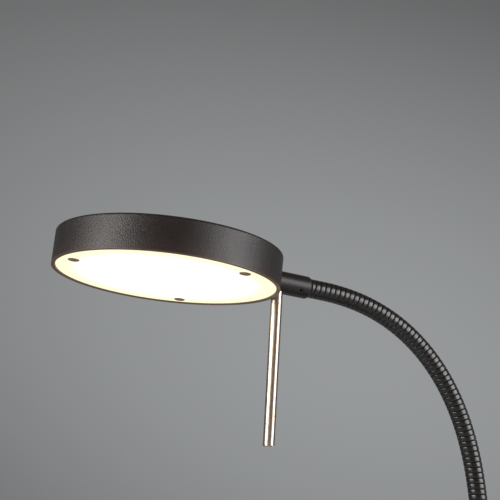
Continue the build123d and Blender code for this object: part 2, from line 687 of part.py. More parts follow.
def plate_screw(play, length):
    """A countersunk screw with its head flush with the underside of the base plate."""
    shank = PLATE_SCREW_RADIUS + play
    head = PLATE_SCREW_HEAD_RADIUS + play
    sunk = PAD_THICKNESS + PLATE_SCREW_HEAD_RADIUS - PLATE_SCREW_RADIUS
    return turned(
        (0, PAD_THICKNESS),
        (head, PAD_THICKNESS),
        (shank, sunk),
        (shank, PAD_THICKNESS + length),
        (0, PAD_THICKNESS + length),
    )


def plate_screws_around(piece):
    """Copies of a piece at the places of the plate's screws."""
    return around(BASE_RADIUS - PLATE_SCREW_FROM_EDGE, PLATE_SCREW_ANGLES, piece)


def base_plate():
    """The plate that closes the base from below."""
    plate = rod(WEIGHT_RADIUS, PAD_THICKNESS, PLATE_TOP)
    for hole in plate_screws_around(plate_screw(FIT, PLATE_SCREW_LENGTH)):
        plate -= hole
    return plate


def base_plate_screws():
    """Four countersunk screws that hold the plate to the weight."""
    return Compound(plate_screws_around(plate_screw(0, PLATE_SCREW_LENGTH)))


def base_pad():
    """The soft disc that the lamp stands on."""
    return rod(BASE_RADIUS - PAD_SETBACK, 0, PAD_THICKNESS)


def led_driver():
    """The closed driver box in the weight's pocket."""
    half = DRIVER_WIDTH / 2
    box = block(DRIVER_FACE, DRIVER_FACE + DRIVER_LENGTH, -half, half, PLATE_TOP, PLATE_TOP + DRIVER_HEIGHT)
    return fillet(box.edges().filter_by(Axis.Z), DRIVER_EDGE)


def cord_gland():
    """The bush in the base's rear wall that a mains lead is passed through."""
    inner = COVER_WALL + GLAND_INNER_LENGTH
    tip = GLAND_FLANGE_THICKNESS + GLAND_NOSE_LENGTH
    outline = (
        (GLAND_BORE_RADIUS, -inner),
        (GLAND_RADIUS, -inner),
        (GLAND_RADIUS, 0),
        (GLAND_FLANGE_RADIUS, 0),
        (GLAND_FLANGE_RADIUS, GLAND_FLANGE_THICKNESS),
        (GLAND_RADIUS, GLAND_FLANGE_THICKNESS),
        ((GLAND_BORE_RADIUS + GLAND_RADIUS) / 2, tip),
        (GLAND_BORE_RADIUS, tip),
    )
    return along_x(BASE_RADIUS, GLAND_HEIGHT) * turned(*outline)


def gland_nut():
    """The nut that holds the gland inside the cover."""
    face = -COVER_WALL - GLAND_NUT_GAP
    nut = hexagon(GLAND_NUT_FLATS, GLAND_RADIUS + FIT, face - GLAND_NUT_HEIGHT, face)
    return along_x(BASE_RADIUS, GLAND_HEIGHT) * nut


# ---- switch -----------------------------------------------------------------------------------------
def switch_body():
    """The bezel and barrel of the push switch, with the well that the button slides in."""
    well = BASE_HEIGHT + BUTTON_RISE - BUTTON_LENGTH - BUTTON_TRAVEL - WELL_PLAY
    inner = BUTTON_RADIUS + RUNNING_PLAY
    rim = BASE_HEIGHT + BEZEL_HEIGHT
    return Pos(SWITCH_X, 0, 0) * turned(
        (0, BASE_HEIGHT - BARREL_LENGTH),
        (BARREL_RADIUS, BASE_HEIGHT - BARREL_LENGTH),
        (BARREL_RADIUS, BASE_HEIGHT),
        (BEZEL_RADIUS, BASE_HEIGHT),
        (BEZEL_RADIUS, rim - BEZEL_EDGE),
        (BEZEL_RADIUS - BEZEL_EDGE, rim),
        (inner, rim),
        (inner, well),
        (0, well),
    )


def switch_nut():
    """The thin nut that holds the switch in the cover."""
    nut = hexagon(
        SWITCH_NUT_FLATS, BARREL_RADIUS + FIT, COVER_INNER_TOP - SWITCH_NUT_HEIGHT, COVER_INNER_TOP
    )
    return Pos(SWITCH_X, 0, 0) * nut


def switch_button():
    """The round button, which slides down in its well."""
    top = BASE_HEIGHT + BUTTON_RISE
    return Pos(SWITCH_X, 0, 0) * turned(
        (0, top - BUTTON_LENGTH),
        (BUTTON_RADIUS, top - BUTTON_LENGTH),
        (BUTTON_RADIUS, top - BUTTON_EDGE),
        (BUTTON_RADIUS - BUTTON_EDGE, top),
        (0, top),
    )


def switch_lead():
    """The straight lead from the switch to the driver, under the stem's nut."""
    start = SWITCH_X + BARREL_RADIUS / 2
    run = along_x(0, LEAD_FLOOR_HEIGHT) * rod(SWITCH_LEAD_RADIUS, start, DRIVER_FACE)
    return Pos(0, SWITCH_LEAD_Y, 0) * run - Pos(SWITCH_X, 0, 0) * rod(BARREL_RADIUS, 0, BASE_HEIGHT)


# ---- export -----------------------------------------------------------------------------------------
PIECES = (
    base_pad,
    base_plate,
    base_plate_screws,
    base_weight,
    base_cover,
    led_driver,
    cord_gland,
    gland_nut,
    switch_body,
    switch_nut,
    switch_button,
    switch_lead,
    stem,
    stem_flange,
    stem_washer,
    stem_nut,
    stem_lead,
    neck_collar_lower,
    neck_collar_upper,
    handle_rod,
    head_housing,
    collar_washer,
    collar_nut,
    led_board,
    led_chips,
    led_board_screws,
    reflector_ring,
    head_terminal,
    head_lead,
    diffuser,
    diffuser_screws,
)


def main():
    """Writes one STEP file for each node."""
    os.makedirs("parts", exist_ok=True)
    for piece in PIECES:
        export_step(piece(), f"parts/{piece.__name__}.step")
    export_step(LOWER_MOUTH * set_screw(0), "parts/collar_set_screw_lower.step")
    export_step(UPPER_MOUTH * set_screw(-SET_SCREW_TURN), "parts/collar_set_screw_upper.step")
    for index in range(LINK_COUNT):
        export_step(neck_link(index), f"parts/neck_link_{index + 1:02d}.step")
        export_step(neck_lead(index), f"parts/neck_lead_{index + 1:02d}.step")


main()
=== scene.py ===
"""Piano lamp: the looks of a round light head on a wound gooseneck, with its stem and weighted base.

Metres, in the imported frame: the base stands on Z = 0, the neck bends in the XZ plane and the head lies
towards -X. Each sub-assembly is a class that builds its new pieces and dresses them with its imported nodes,
each finish is a frozen dataclass, and main() takes the sub-assemblies in order.
"""

import json
import logging
from dataclasses import dataclass
from enum import Enum
from math import cos, pi, radians, sin, tan
from typing import ClassVar, NamedTuple

import bpy
from mathutils import Matrix, Vector

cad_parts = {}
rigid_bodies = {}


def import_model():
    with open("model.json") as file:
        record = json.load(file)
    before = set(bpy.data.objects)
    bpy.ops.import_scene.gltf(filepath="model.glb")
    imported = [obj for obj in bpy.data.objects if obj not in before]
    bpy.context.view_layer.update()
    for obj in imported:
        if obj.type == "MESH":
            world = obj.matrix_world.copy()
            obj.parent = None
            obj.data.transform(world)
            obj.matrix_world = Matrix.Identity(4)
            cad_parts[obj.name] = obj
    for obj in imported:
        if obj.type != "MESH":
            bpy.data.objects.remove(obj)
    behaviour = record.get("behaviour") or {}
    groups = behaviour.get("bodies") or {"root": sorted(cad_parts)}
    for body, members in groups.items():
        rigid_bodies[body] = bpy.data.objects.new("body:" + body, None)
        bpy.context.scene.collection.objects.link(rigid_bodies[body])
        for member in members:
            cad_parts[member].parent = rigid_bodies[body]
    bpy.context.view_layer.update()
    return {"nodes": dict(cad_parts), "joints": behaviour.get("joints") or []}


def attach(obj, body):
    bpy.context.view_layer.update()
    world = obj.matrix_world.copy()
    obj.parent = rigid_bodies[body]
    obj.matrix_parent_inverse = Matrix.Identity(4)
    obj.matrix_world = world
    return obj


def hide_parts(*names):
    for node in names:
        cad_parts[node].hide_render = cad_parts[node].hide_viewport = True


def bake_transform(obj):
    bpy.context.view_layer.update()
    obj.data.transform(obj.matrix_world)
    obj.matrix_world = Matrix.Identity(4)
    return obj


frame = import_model()

MM = 0.001
FULL_TURN = 2 * pi
HEAD_TILT = radians(6.535)
LINK_COUNT = 12
CAMERA_PLACE = Vector((-561.3, -784.9, 213.0)) * MM
DOWN = Vector((0, 0, -1))
OUTWARD = Vector((1, 0, 0))
SIDEWAYS = Vector((0, 1, 0))

Triple = tuple[float, float, float]
Colour = Triple
Number = "Wire | float"

BLACK: Colour = (0.0, 0.0, 0.0)

log = logging.getLogger("piano_lamp")


# ---- node graphs ------------------------------------------------------------------------------------
class Wire:
    """A socket of a node, which Python's operators join into Math and Vector Math nodes."""

    def __init__(self, graph: "Graph", socket: bpy.types.NodeSocket) -> None:
        """Wraps one output socket of a graph."""
        self.graph = graph
        self.socket = socket

    def __add__(self, other: Number) -> "Wire":
        """The sum."""
        return self.graph.maths("ADD", self, other)

    def __radd__(self, other: Number) -> "Wire":
        """The sum, with the number first."""
        return self.graph.maths("ADD", other, self)

    def __sub__(self, other: Number) -> "Wire":
        """The difference."""
        return self.graph.maths("SUBTRACT", self, other)

    def __rsub__(self, other: Number) -> "Wire":
        """The difference, with the number first."""
        return self.graph.maths("SUBTRACT", other, self)

    def __mul__(self, other: Number) -> "Wire":
        """The product."""
        return self.graph.maths("MULTIPLY", self, other)

    def __rmul__(self, other: Number) -> "Wire":
        """The product, with the number first."""
        return self.graph.maths("MULTIPLY", other, self)

    def __truediv__(self, other: Number) -> "Wire":
        """The quotient."""
        return self.graph.maths("DIVIDE", self, other)

    def __rtruediv__(self, other: Number) -> "Wire":
        """The quotient, with the number first."""
        return self.graph.maths("DIVIDE", other, self)

    def __pow__(self, other: Number) -> "Wire":
        """The power."""
        return self.graph.maths("POWER", self, other)

    def __abs__(self) -> "Wire":
        """The size without its sign."""
        return self.graph.maths("ABSOLUTE", self)


class Graph:
    """A node tree that is written as expressions."""

    def __init__(self, tree: bpy.types.NodeTree) -> None:
        """Takes over an empty tree."""
        self.tree = tree

    def feed(self, socket: bpy.types.NodeSocket, value: object) -> None:
        """Links a wire to an input socket, or sets the socket's own value.

        Args:
            socket: The input socket.
            value: A Wire, or what the socket holds by itself.
        """
        if isinstance(value, Wire):
            self.tree.links.new(value.socket, socket)
        else:
            socket.default_value = value

    def node(self, kind: str, settings: dict | None = None, inputs: dict | None = None,
             output: int | str = 0) -> "Wire | None":
        """Makes one node.

        Args:
            kind: The node's type.
            settings: Properties that are set first.
            inputs: Values or wires by the socket's name, identifier or number.
            output: The name or number of the output to return.

        Returns:
            The chosen output, or None where the node has none.
        """
        made = self.tree.nodes.new(kind)
        for name, value in (settings or {}).items():
            setattr(made, name, value)
        for key, value in (inputs or {}).items():
            self.feed(self.find(made.inputs, key), value)
        if not made.outputs:
            return None
        return Wire(self, self.find(made.outputs, output))

    @staticmethod
    def find(sockets: bpy.types.bpy_prop_collection, key: int | str) -> bpy.types.NodeSocket:
        """The socket with this number, identifier or name."""
        if isinstance(key, int):
            return sockets[key]
        for socket in sockets:
            if socket.identifier == key:
                return socket
        return sockets[key]

    def maths(self, operation: str, first: Number, second: "Wire | float | None" = None) -> Wire:
        """One Math or Vector Math node, as the wires' kinds ask.

        Args:
            operation: The node's operation.
            first: The first value.
            second: The second value, where the operation has one.

        Returns:
            The result.
        """
        values = [value for value in (first, second) if value is not None]
        vectors = [isinstance(value, Wire) and value.socket.type in ("VECTOR", "RGBA") for value in values]
        if not any(vectors):
            return self.node("ShaderNodeMath", {"operation": operation}, dict(enumerate(values)))
        if operation == "MULTIPLY" and not all(vectors):
            vector, scale = values if vectors[0] else reversed(values)
            inputs = {"Vector": vector, "Scale": scale}
            return self.node("ShaderNodeVectorMath", {"operation": "SCALE"}, inputs)
        output = "Value" if operation in ("DISTANCE", "DOT_PRODUCT", "LENGTH") else "Vector"
        settings = {"operation": operation}
        return self.node("ShaderNodeVectorMath", settings, dict(enumerate(values)), output)

    def unary(self, operation: str, value: Number) -> Wire:
        """A Math node with one input, such as SINE."""
        return self.node("ShaderNodeMath", {"operation": operation}, {0: value})

    def vector(self, x: Number, y: Number, z: Number) -> Wire:
        """A vector from its three parts."""
        return self.node("ShaderNodeCombineXYZ", None, {0: x, 1: y, 2: z})

    def part(self, vector: Wire, axis: str) -> Wire:
        """One part of a vector."""
        return self.node("ShaderNodeSeparateXYZ", None, {0: vector}, axis)

    def spread(self, value: Wire, low: float, high: float, start: float = 0, end: float = 1) -> Wire:
        """Maps low to high smoothly to start to end, and holds the ends outside."""
        inputs = {0: value, 1: low, 2: high, 3: start, 4: end}
        return self.node("ShaderNodeMapRange", {"interpolation_type": "SMOOTHSTEP"}, inputs)

    def mix(self, share: Number, first: object, second: object) -> Wire:
        """A mix of two colours."""
        values = [(*value, 1) if isinstance(value, tuple) else value for value in (first, second)]
        inputs = {"Factor_Float": share, "A_Color": values[0], "B_Color": values[1]}
        return self.node("ShaderNodeMix", {"data_type": "RGBA"}, inputs, "Result_Color")

    def noise(self, place: Wire, size: float, detail: float = 2.0) -> Wire:
        """A noise from 0 to 1 whose spots are of this size in metres."""
        return self.node("ShaderNodeTexNoise", None, {"Vector": place, "Scale": 1 / size, "Detail": detail})


# ---- finishes ---------------------------------------------------------------------------------------
def scaled(colour: Colour, factor: float) -> Colour:
    """A colour made lighter or darker."""
    return tuple(part * factor for part in colour)


@dataclass(frozen=True)
class Finish:
    """A plain moulded or cast surface: fine grain in relief and a slow change of tone."""

    name: str
    colour: Colour
    roughness: float
    metallic: float = 0.0
    grain: float = 0.4 * MM
    relief: float = 0.02 * MM
    mottle: float = 0.12
    mottle_size: float = 18 * MM
    gloss: float = 0.5
    place_output: ClassVar[str] = "Object"

    def material(self) -> bpy.types.Material:
        """The finish's material, made once."""
        found = bpy.data.materials.get(self.name)
        if found is not None:
            return found
        made = bpy.data.materials.new(self.name)
        made.use_nodes = True
        made.node_tree.nodes.clear()
        graph = Graph(made.node_tree)
        place = graph.node("ShaderNodeTexCoord", output=self.place_output)
        inputs = {"Specular IOR Level": self.gloss, "Metallic": self.metallic, **self.surface(graph, place)}
        shader = graph.node("ShaderNodeBsdfPrincipled", None, inputs)
        graph.node("ShaderNodeOutputMaterial", None, {"Surface": shader})
        made.diffuse_color = (*self.colour, 1)
        return made

    def surface(self, graph: Graph, place: Wire) -> dict[str, object]:
        """What feeds the shader.

        Args:
            graph: The material's graph.
            place: The place on the piece, in metres.

        Returns:
            Values and wires by the shader's socket names.
        """
        tone = graph.noise(place, self.mottle_size)
        return {
            "Base Color": self.shade(graph, tone, 1 - self.mottle, 1 + self.mottle),
            "Roughness": self.roughness + (tone - 0.5) * self.mottle,
            "Normal": self.bump(graph, graph.noise(place, self.grain)),
        }

    def shade(self, graph: Graph, share: Wire, low: float, high: float = 1.0) -> Wire:
        """The finish's colour times a factor that goes from low to high with the share."""
        return graph.mix(share, scaled(self.colour, low), scaled(self.colour, high))

    def bump(self, graph: Graph, height: Wire) -> Wire:
        """The normal of a relief whose height goes from 0 to 1."""
        return graph.node("ShaderNodeBump", None, {"Height": height, "Distance": self.relief})

    @staticmethod
    def painted_emission(colour: object) -> dict[str, object]:
        """What feeds the shader for a painted glow of this colour, which the surface gives off though it is
        no lamp.
        """
        return {"Emission Color": colour, "Emission Strength": 1.0}


@dataclass(frozen=True)
class PowderCoat(Finish):
    """Fine-textured powder coat: orange-peel grains whose colour is lighter on their tops and darker between
    them, grain tone with a painted sparkle on the tops and painted shade between.
    """

    grain: float = 0.78 * MM
    relief: float = 0.17 * MM
    tone_and_painted_sparkle: float = 0.75
    polish: float = 0.09
    softness: float = 0.6
    fine_share: float = 0.5
    tops_from: float = 0.7
    tops_to: float = 1.3
    fine_relief: float = 0.3

    def surface(self, graph: Graph, place: Wire) -> dict[str, object]:
        """The coat's grains, which are glossier on their tops, with a painted sparkle there and painted
        shade between them. See Finish.surface.
        """
        cells = graph.node("ShaderNodeTexVoronoi", {"feature": "SMOOTH_F1"},
                           {"Vector": place, "Scale": 1 / self.grain, "Smoothness": self.softness})
        grains = 1 - cells
        fine = graph.noise(place, self.grain / 2)
        tone = graph.noise(place, self.mottle_size)
        tops = graph.spread(grains + fine * self.fine_share, self.tops_from, self.tops_to)
        wear = (tone - 0.5) * self.mottle - (tops - 0.5) * self.polish
        return {
            # Lighter tops and darker hollows: grain tone, painted sparkle and painted shade.
            "Base Color": self.shade(graph, tops, 1 - self.tone_and_painted_sparkle / 2, 1 + self.tone_and_painted_sparkle),
            "Roughness": self.roughness + wear,
            "Normal": self.bump(graph, grains * (1 - self.fine_relief) + fine * self.fine_relief),
        }


@dataclass(frozen=True)
class DrumCoat(PowderCoat):
    """The drum's coat, with a faint warm painted glow on the rim round the lit disc, which stands for the
    disc's light there.
    """

    origin: Triple = (0.0, 0.0, 0.0)
    upward: Triple = (0.0, 0.0, 1.0)
    painted_rim_glow: Colour = (0.062, 0.029, 0.019)
    rim_reach: float = 1.2 * MM
    painted_haze_reach: float = 11.0 * MM
    painted_haze: float = 0.17

    def surface(self, graph: Graph, place: Wire) -> dict[str, object]:
        """The coat, and a painted glow that fades with the height above the rim. See Finish.surface."""
        found = super().surface(graph, place)
        height = graph.maths("DOT_PRODUCT", place - graph.vector(*self.origin), graph.vector(*self.upward))
        near = graph.spread(height, 0, self.rim_reach, 1 - self.painted_haze, 0)
        far = graph.spread(height, 0, self.painted_haze_reach, self.painted_haze, 0)
        # The coat gives off this painted rim glow as light of its own.
        return {**found, **self.painted_emission(graph.mix(near + far, BLACK, self.painted_rim_glow))}


@dataclass(frozen=True)
class Drawn(Finish):
    """Bright metal with fine lines across the piece, as turning or drawing leaves them."""

    metallic: float = 1.0
    relief: float = 0.004 * MM
    stretch: Triple = (1.0, 1.0, 14.0)
    contrast: float = 0.2

    def surface(self, graph: Graph, place: Wire) -> dict[str, object]:
        """Hair lines that vary the gloss. See Finish.surface."""
        inputs = {"Vector": place, "Scale": self.stretch}
        lines = graph.noise(graph.node("ShaderNodeMapping", None, inputs), self.grain, detail=3)
        tone = graph.noise(place, self.mottle_size)
        return {
            "Base Color": self.shade(graph, tone, 1 - self.mottle),
            "Roughness": self.roughness * (1 - self.contrast + lines * (2 * self.contrast)),
            "Normal": self.bump(graph, lines),
        }


@dataclass(frozen=True)
class Brushed(Drawn):
    """Metal ground round a turned piece, whose own map holds the turn and the length in metres.

    The fine lines round the piece draw its reflections out along its axis.
    """

    drawn_out: float = 1.0
    lines_turn: float = 0.25
    place_output: ClassVar[str] = "UV"

    def surface(self, graph: Graph, place: Wire) -> dict[str, object]:
        """Hair lines, and reflections that are drawn out across them. See Finish.surface."""
        across = {"Anisotropic": self.drawn_out, "Anisotropic Rotation": self.lines_turn}
        return {**super().surface(graph, place), **across}


@dataclass(frozen=True)
class Wound(Finish):
    """The satin wire of the gooseneck: worn and smoother on the crests, dull in the grooves, and darker
    there by painted shade.
    """

    # The colour's factor in the grooves: painted shade.
    groove_shade: float = 0.5
    groove_dullness: float = 0.34
    flat_share: float = 0.1

    def surface(self, graph: Graph, place: Wire) -> dict[str, object]:
        """Painted shade and duller gloss in the grooves, by the height of the wire's crown. See
        Finish.surface.
        """
        crown = graph.node("ShaderNodeAttribute", {"attribute_name": "crown"}, output="Fac")
        top = graph.spread(crown, self.flat_share, 1 - self.flat_share)
        tone = graph.noise(place, self.mottle_size)
        return {
            # Darker in the grooves: painted shade.
            "Base Color": self.shade(graph, top, self.groove_shade),
            "Roughness": self.roughness + (1 - top) * self.groove_dullness + (tone - 0.5) * self.mottle,
            "Normal": self.bump(graph, graph.noise(place, self.grain)),
        }


@dataclass(frozen=True)
class Glow(Finish):
    """The lit opal disc: white over the light sources and creamier towards its edge."""

    centre: Triple = (0.0, 0.0, 0.0)
    radius: float = 77 * MM
    edge_colour: Colour = (1.0, 0.98, 0.64)
    core_colour: Colour = (1.0, 0.94, 0.80)
    edge_level: float = 0.059
    strength: float = 16.0
    fade_start: float = 0.15
    fall: float = 1.8

    def surface(self, graph: Graph, place: Wire) -> dict[str, object]:
        """Light that falls off towards the edge. See Finish.surface."""
        from_centre = graph.maths("DISTANCE", place, graph.vector(*self.centre))
        share = graph.spread(from_centre / self.radius, self.fade_start, 1.0, 1, 0) ** self.fall
        edge = scaled(self.edge_colour, self.edge_level)
        return {
            "Base Color": (*self.colour, 1),
            "Roughness": self.roughness,
            "Emission Color": graph.mix(share, edge, self.core_colour),
            "Emission Strength": self.strength,
            "Normal": self.bump(graph, graph.noise(place, self.grain)),
        }


@dataclass(frozen=True)
class Backlit(Finish):
    """A small part in front of the lit disc, with a faint painted glow that stands for the light passing
    round it.
    """

    painted_glow_colour: Colour = (0.085, 0.045, 0.028)

    def surface(self, graph: Graph, place: Wire) -> dict[str, object]:
        """The part's own surface with a faint even painted glow. See Finish.surface."""
        return {**super().surface(graph, place), **self.painted_emission((*self.painted_glow_colour, 1))}


@dataclass(frozen=True)
class FloorPaper(Finish):
    """A pale floor that passes into the backdrop's tone far from the lamp."""

    far_colour: Colour = (0.01, 0.01, 0.01)
    far_tone: Colour = (0.128, 0.132, 0.134)
    fade_start: float = 0.6
    fade_end: float = 1.9

    def surface(self, graph: Graph, place: Wire) -> dict[str, object]:
        """Shade by the distance from the middle. See Finish.surface."""
        found = super().surface(graph, place)
        share = graph.spread(graph.maths("LENGTH", place), self.fade_start, self.fade_end)
        paper = graph.mix(share, found["Base Color"], self.far_colour)
        light = self.painted_emission(graph.mix(share, BLACK, self.far_tone))
        return {**found, "Base Color": paper, **light}


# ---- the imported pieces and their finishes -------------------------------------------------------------
class Slot(Enum):
    """The record's material slots."""

    DRUM = "drum_black"
    COLLAR = "collar_black"
    NECK = "neck_black"
    BASE = "base_black"
    CHROME = "chrome"
    OPAL = "opal"
    REFLECTOR = "reflector_white"
    BOARD = "board"
    LED = "led"
    SCREW_BLACK = "screw_black"
    SCREW_STEEL = "screw_steel"
    NUT_BRASS = "nut_brass"
    LEAD = "lead_black"
    TERMINAL = "terminal_white"
    IRON = "iron"
    PLATE = "plate_steel"
    PAD = "pad"
    DRIVER = "driver_case"
    GLAND = "gland_black"
    SWITCH = "switch_black"
    BUTTON = "button_black"


def finishes(head: "HeadPlace") -> dict[Slot, Finish]:
    """The finish of each slot.

    Args:
        head: Where the drum is, which the lit disc's finish is centred on.

    Returns:
        A finish for every slot.
    """
    middle, upward = tuple(head.origin), tuple(head.upward)
    return {
        Slot.DRUM: DrumCoat("drum_coat", (0.0165, 0.0115, 0.0110), 0.40, origin=middle, upward=upward),
        Slot.BASE: PowderCoat("base_coat", (0.0175, 0.0145, 0.0140), 0.52, gloss=0.32),
        Slot.COLLAR: Finish("collar_paint", (0.012, 0.0095, 0.0100), 0.36, relief=0.004 * MM),
        Slot.NECK: Wound("wound_wire", (0.0055, 0.0055, 0.0057), 0.29, grain=0.3 * MM, relief=0.004 * MM,
                         gloss=0.68),
        Slot.CHROME: Brushed("brushed_nickel", (0.72, 0.62, 0.53), 0.38, relief=0.0005 * MM, mottle=0.04,
                             stretch=(0.0005, 1, 1)),
        Slot.OPAL: Glow("lit_opal", (0.35, 0.34, 0.31), 0.42, centre=middle),
        Slot.REFLECTOR: Finish("reflector_plastic", (0.86, 0.86, 0.84), 0.6, relief=0.01 * MM),
        Slot.BOARD: Finish("board_coat", (0.80, 0.81, 0.80), 0.45, relief=0.006 * MM),
        Slot.LED: Finish("phosphor", (0.90, 0.76, 0.28), 0.35, relief=0.006 * MM),
        Slot.SCREW_BLACK: Finish("blackened_screw", (0.024, 0.019, 0.018), 0.4, metallic=0.2,
                                 relief=0.006 * MM),
        Slot.SCREW_STEEL: Drawn("zinc_screw", (0.56, 0.56, 0.55), 0.34, grain=0.2 * MM),
        Slot.NUT_BRASS: Drawn("turned_brass", (0.72, 0.55, 0.26), 0.3, grain=0.15 * MM),
        Slot.LEAD: Finish("lead_sheath", (0.028, 0.028, 0.028), 0.62),
        Slot.TERMINAL: Finish("terminal_plastic", (0.80, 0.80, 0.77), 0.5, relief=0.01 * MM),
        Slot.IRON: Finish("cast_weight", (0.15, 0.148, 0.145), 0.72, metallic=0.5, grain=1.2 * MM,
                          relief=0.12 * MM, mottle=0.25),
        Slot.PLATE: Drawn("zinc_plate", (0.46, 0.46, 0.45), 0.42, grain=0.25 * MM),
        Slot.PAD: Finish("foam_pad", (0.045, 0.045, 0.045), 0.9, grain=0.7 * MM, relief=0.09 * MM,
                         mottle=0.2),
        Slot.DRIVER: Finish("driver_plastic", (0.84, 0.84, 0.82), 0.5, relief=0.015 * MM),
        Slot.GLAND: Finish("gland_nylon", (0.03, 0.03, 0.03), 0.5, relief=0.01 * MM),
        Slot.SWITCH: Finish("switch_plastic", (0.030, 0.030, 0.031), 0.3, relief=0.006 * MM),
        Slot.BUTTON: Finish("button_plastic", (0.060, 0.060, 0.062), 0.45, relief=0.012 * MM),
    }


class Wardrobe:
    """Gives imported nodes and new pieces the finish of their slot."""

    def __init__(self, chosen: dict[Slot, Finish]) -> None:
        """Keeps the finish of each slot."""
        self.chosen = chosen

    def dress_node(self, name: str) -> None:
        """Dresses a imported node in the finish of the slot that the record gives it."""
        for holder in frame["nodes"][name].material_slots:
            holder.material = self.chosen[Slot(holder.material.name.split(".")[0])].material()
        log.info("dressed %s", name)

    def dress_piece(self, piece: bpy.types.Object, slot: Slot) -> None:
        """Dresses a new piece in its slot's finish, unless its tree has done so."""
        if not piece.data.materials:
            piece.data.materials.append(self.chosen[slot].material())
        log.info("made %s with %d faces", piece.name, len(piece.data.polygons))


class Made(NamedTuple):
    """A new piece with its slot."""

    piece: bpy.types.Object
    slot: Slot


@dataclass
class SubAssembly:
    """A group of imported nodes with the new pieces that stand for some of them."""

    wardrobe: Wardrobe
    nodes: ClassVar[tuple[str, ...]] = ()

    def assemble(self) -> None:
        """Builds the group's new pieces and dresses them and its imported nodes."""
        for made in self.build():
            self.wardrobe.dress_piece(made.piece, made.slot)
        for name in self.nodes:
            self.wardrobe.dress_node(name)

    def build(self) -> list[Made]:
        """Makes the new pieces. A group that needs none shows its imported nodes."""
        return []


# ---- shapes -------------------------------------------------------------------------------------------
def arc(start: Vector, corner: Vector, end: Vector, steps: int) -> list[Vector]:
    """The points after the start of the circle's arc that touches both sides of a corner."""
    ahead = (corner - start).normalized()
    turn = ahead.angle(end - corner)
    radius = (corner - start).length / tan(turn / 2)
    inward = ((end - corner).normalized() - ahead * cos(turn)).normalized()
    made = []
    for step in range(1, steps + 1):
        angle = turn * step / steps
        made.append(start + ahead * radius * sin(angle) + inward * radius * (1 - cos(angle)))
    return made


def frame_at(origin: Vector, x_axis: Vector, z_axis: Vector) -> Matrix:
    """The frame with this origin and these X and Z axes."""
    made = Matrix((x_axis, z_axis.cross(x_axis), z_axis)).transposed().to_4x4()
    made.translation = origin
    return made


def lay_out(name: str, mesh: bpy.types.Mesh) -> bpy.types.Object:
    """A piece at the origin that holds a mesh."""
    made = bpy.data.objects.new(name, mesh)
    bpy.context.scene.collection.objects.link(made)
    return made


class Corner(NamedTuple):
    """A corner of a turned outline in millimetres. It has sides where it isn't round about the axis."""

    radius: float
    height: float
    rounding: float = 0.0
    sides: int = 0


class Ring(NamedTuple):
    """One ring of a turned mesh: its first vertex, its vertex count and its length along the outline."""

    first: int
    count: int
    along: float


@dataclass(frozen=True)
class Turning:
    """A shape turned about Z, closed at its poles, or a ring where its outline is a loop."""

    corners: tuple[Corner, ...]
    loop: bool = False
    steps_round: int = 96
    steps_corner: int = 6
    sharp_angle: float = radians(28)

    def mesh(self, name: str, place: Matrix) -> bpy.types.Mesh:
        """Makes the mesh.

        Args:
            name: The mesh's name.
            place: The frame whose Z is the axis.

        Returns:
            A closed mesh with its faces outwards, and a map of the turn and the length in metres.
        """
        points, rings = self.rings()
        faces = []
        for lower, upper in zip(rings, rings[1:]):
            for step in range(self.steps_round):
                faces.append(self.face(lower, upper, step))
        mesh = bpy.data.meshes.new(name)
        mesh.from_pydata(points, [], [list(face) for face in faces])
        layer = mesh.uv_layers.new(name="UVMap")
        for loop, place_on_map in zip(layer.data, (spot for face in faces for spot in face.values())):
            loop.uv = place_on_map
        mesh.transform(place)
        mesh.shade_smooth()
        mesh.set_sharp_from_angle(angle=self.sharp_angle)
        return mesh

    def piece(self, name: str, place: Matrix) -> bpy.types.Object:
        """The shape as a piece at the origin."""
        return lay_out(name, self.mesh(name, place))

    def outline(self) -> list[Corner]:
        """The corners with their roundings drawn out."""
        made = []
        for index, corner in enumerate(self.corners):
            if corner.rounding:
                after = self.corners[(index + 1) % len(self.corners)]
                made += self.rounded(self.corners[index - 1], corner, after)
            else:
                made.append(corner)
        return made

    def rounded(self, before: Corner, corner: Corner, after: Corner) -> list[Corner]:
        """The points of a corner's rounding."""
        back, middle, ahead = (Vector((point.radius, point.height, 0)) for point in (before, corner, after))
        reach = corner.rounding * tan((middle - back).angle(ahead - middle) / 2)
        start = middle + (back - middle).normalized() * reach
        end = middle + (ahead - middle).normalized() * reach
        points = [start, *arc(start, middle, end, self.steps_corner)]
        return [Corner(point.x, point.y) for point in points]

    def rings(self) -> tuple[list[tuple], list[Ring]]:
        """The vertices and the rings that they form. A loop's first ring comes again at its end."""
        points = []
        rings = []
        along = 0.0
        before = None
        for corner in self.outline():
            if before:
                step = Vector((corner.radius - before.radius, corner.height - before.height))
                along += step.length * MM
            count = self.steps_round if corner.radius else 1
            rings.append(Ring(len(points), count, along))
            for step in range(count):
                angle = FULL_TURN * step / self.steps_round
                radius = self.reach(corner, angle)
                points.append((radius * cos(angle), radius * sin(angle), corner.height * MM))
            before = corner
        if self.loop:
            rings.append(rings[0]._replace(along=along))
        return points, rings

    def reach(self, corner: Corner, angle: float) -> float:
        """The distance from the axis at an angle, which varies where the corner has sides."""
        if not corner.sides:
            return corner.radius * MM
        half = pi / corner.sides
        return corner.radius * MM * cos(half) / cos(angle % (2 * half) - half)

    def face(self, lower: Ring, upper: Ring, step: int) -> dict[int, tuple[float, float]]:
        """One face as its vertices with their places on the map. At a pole two corners are one."""
        spots = {}
        for ring, turn in ((lower, step), (lower, step + 1), (upper, step + 1), (upper, step)):
            spots[ring.first + turn % ring.count] = (turn / self.steps_round, ring.along)
        return spots


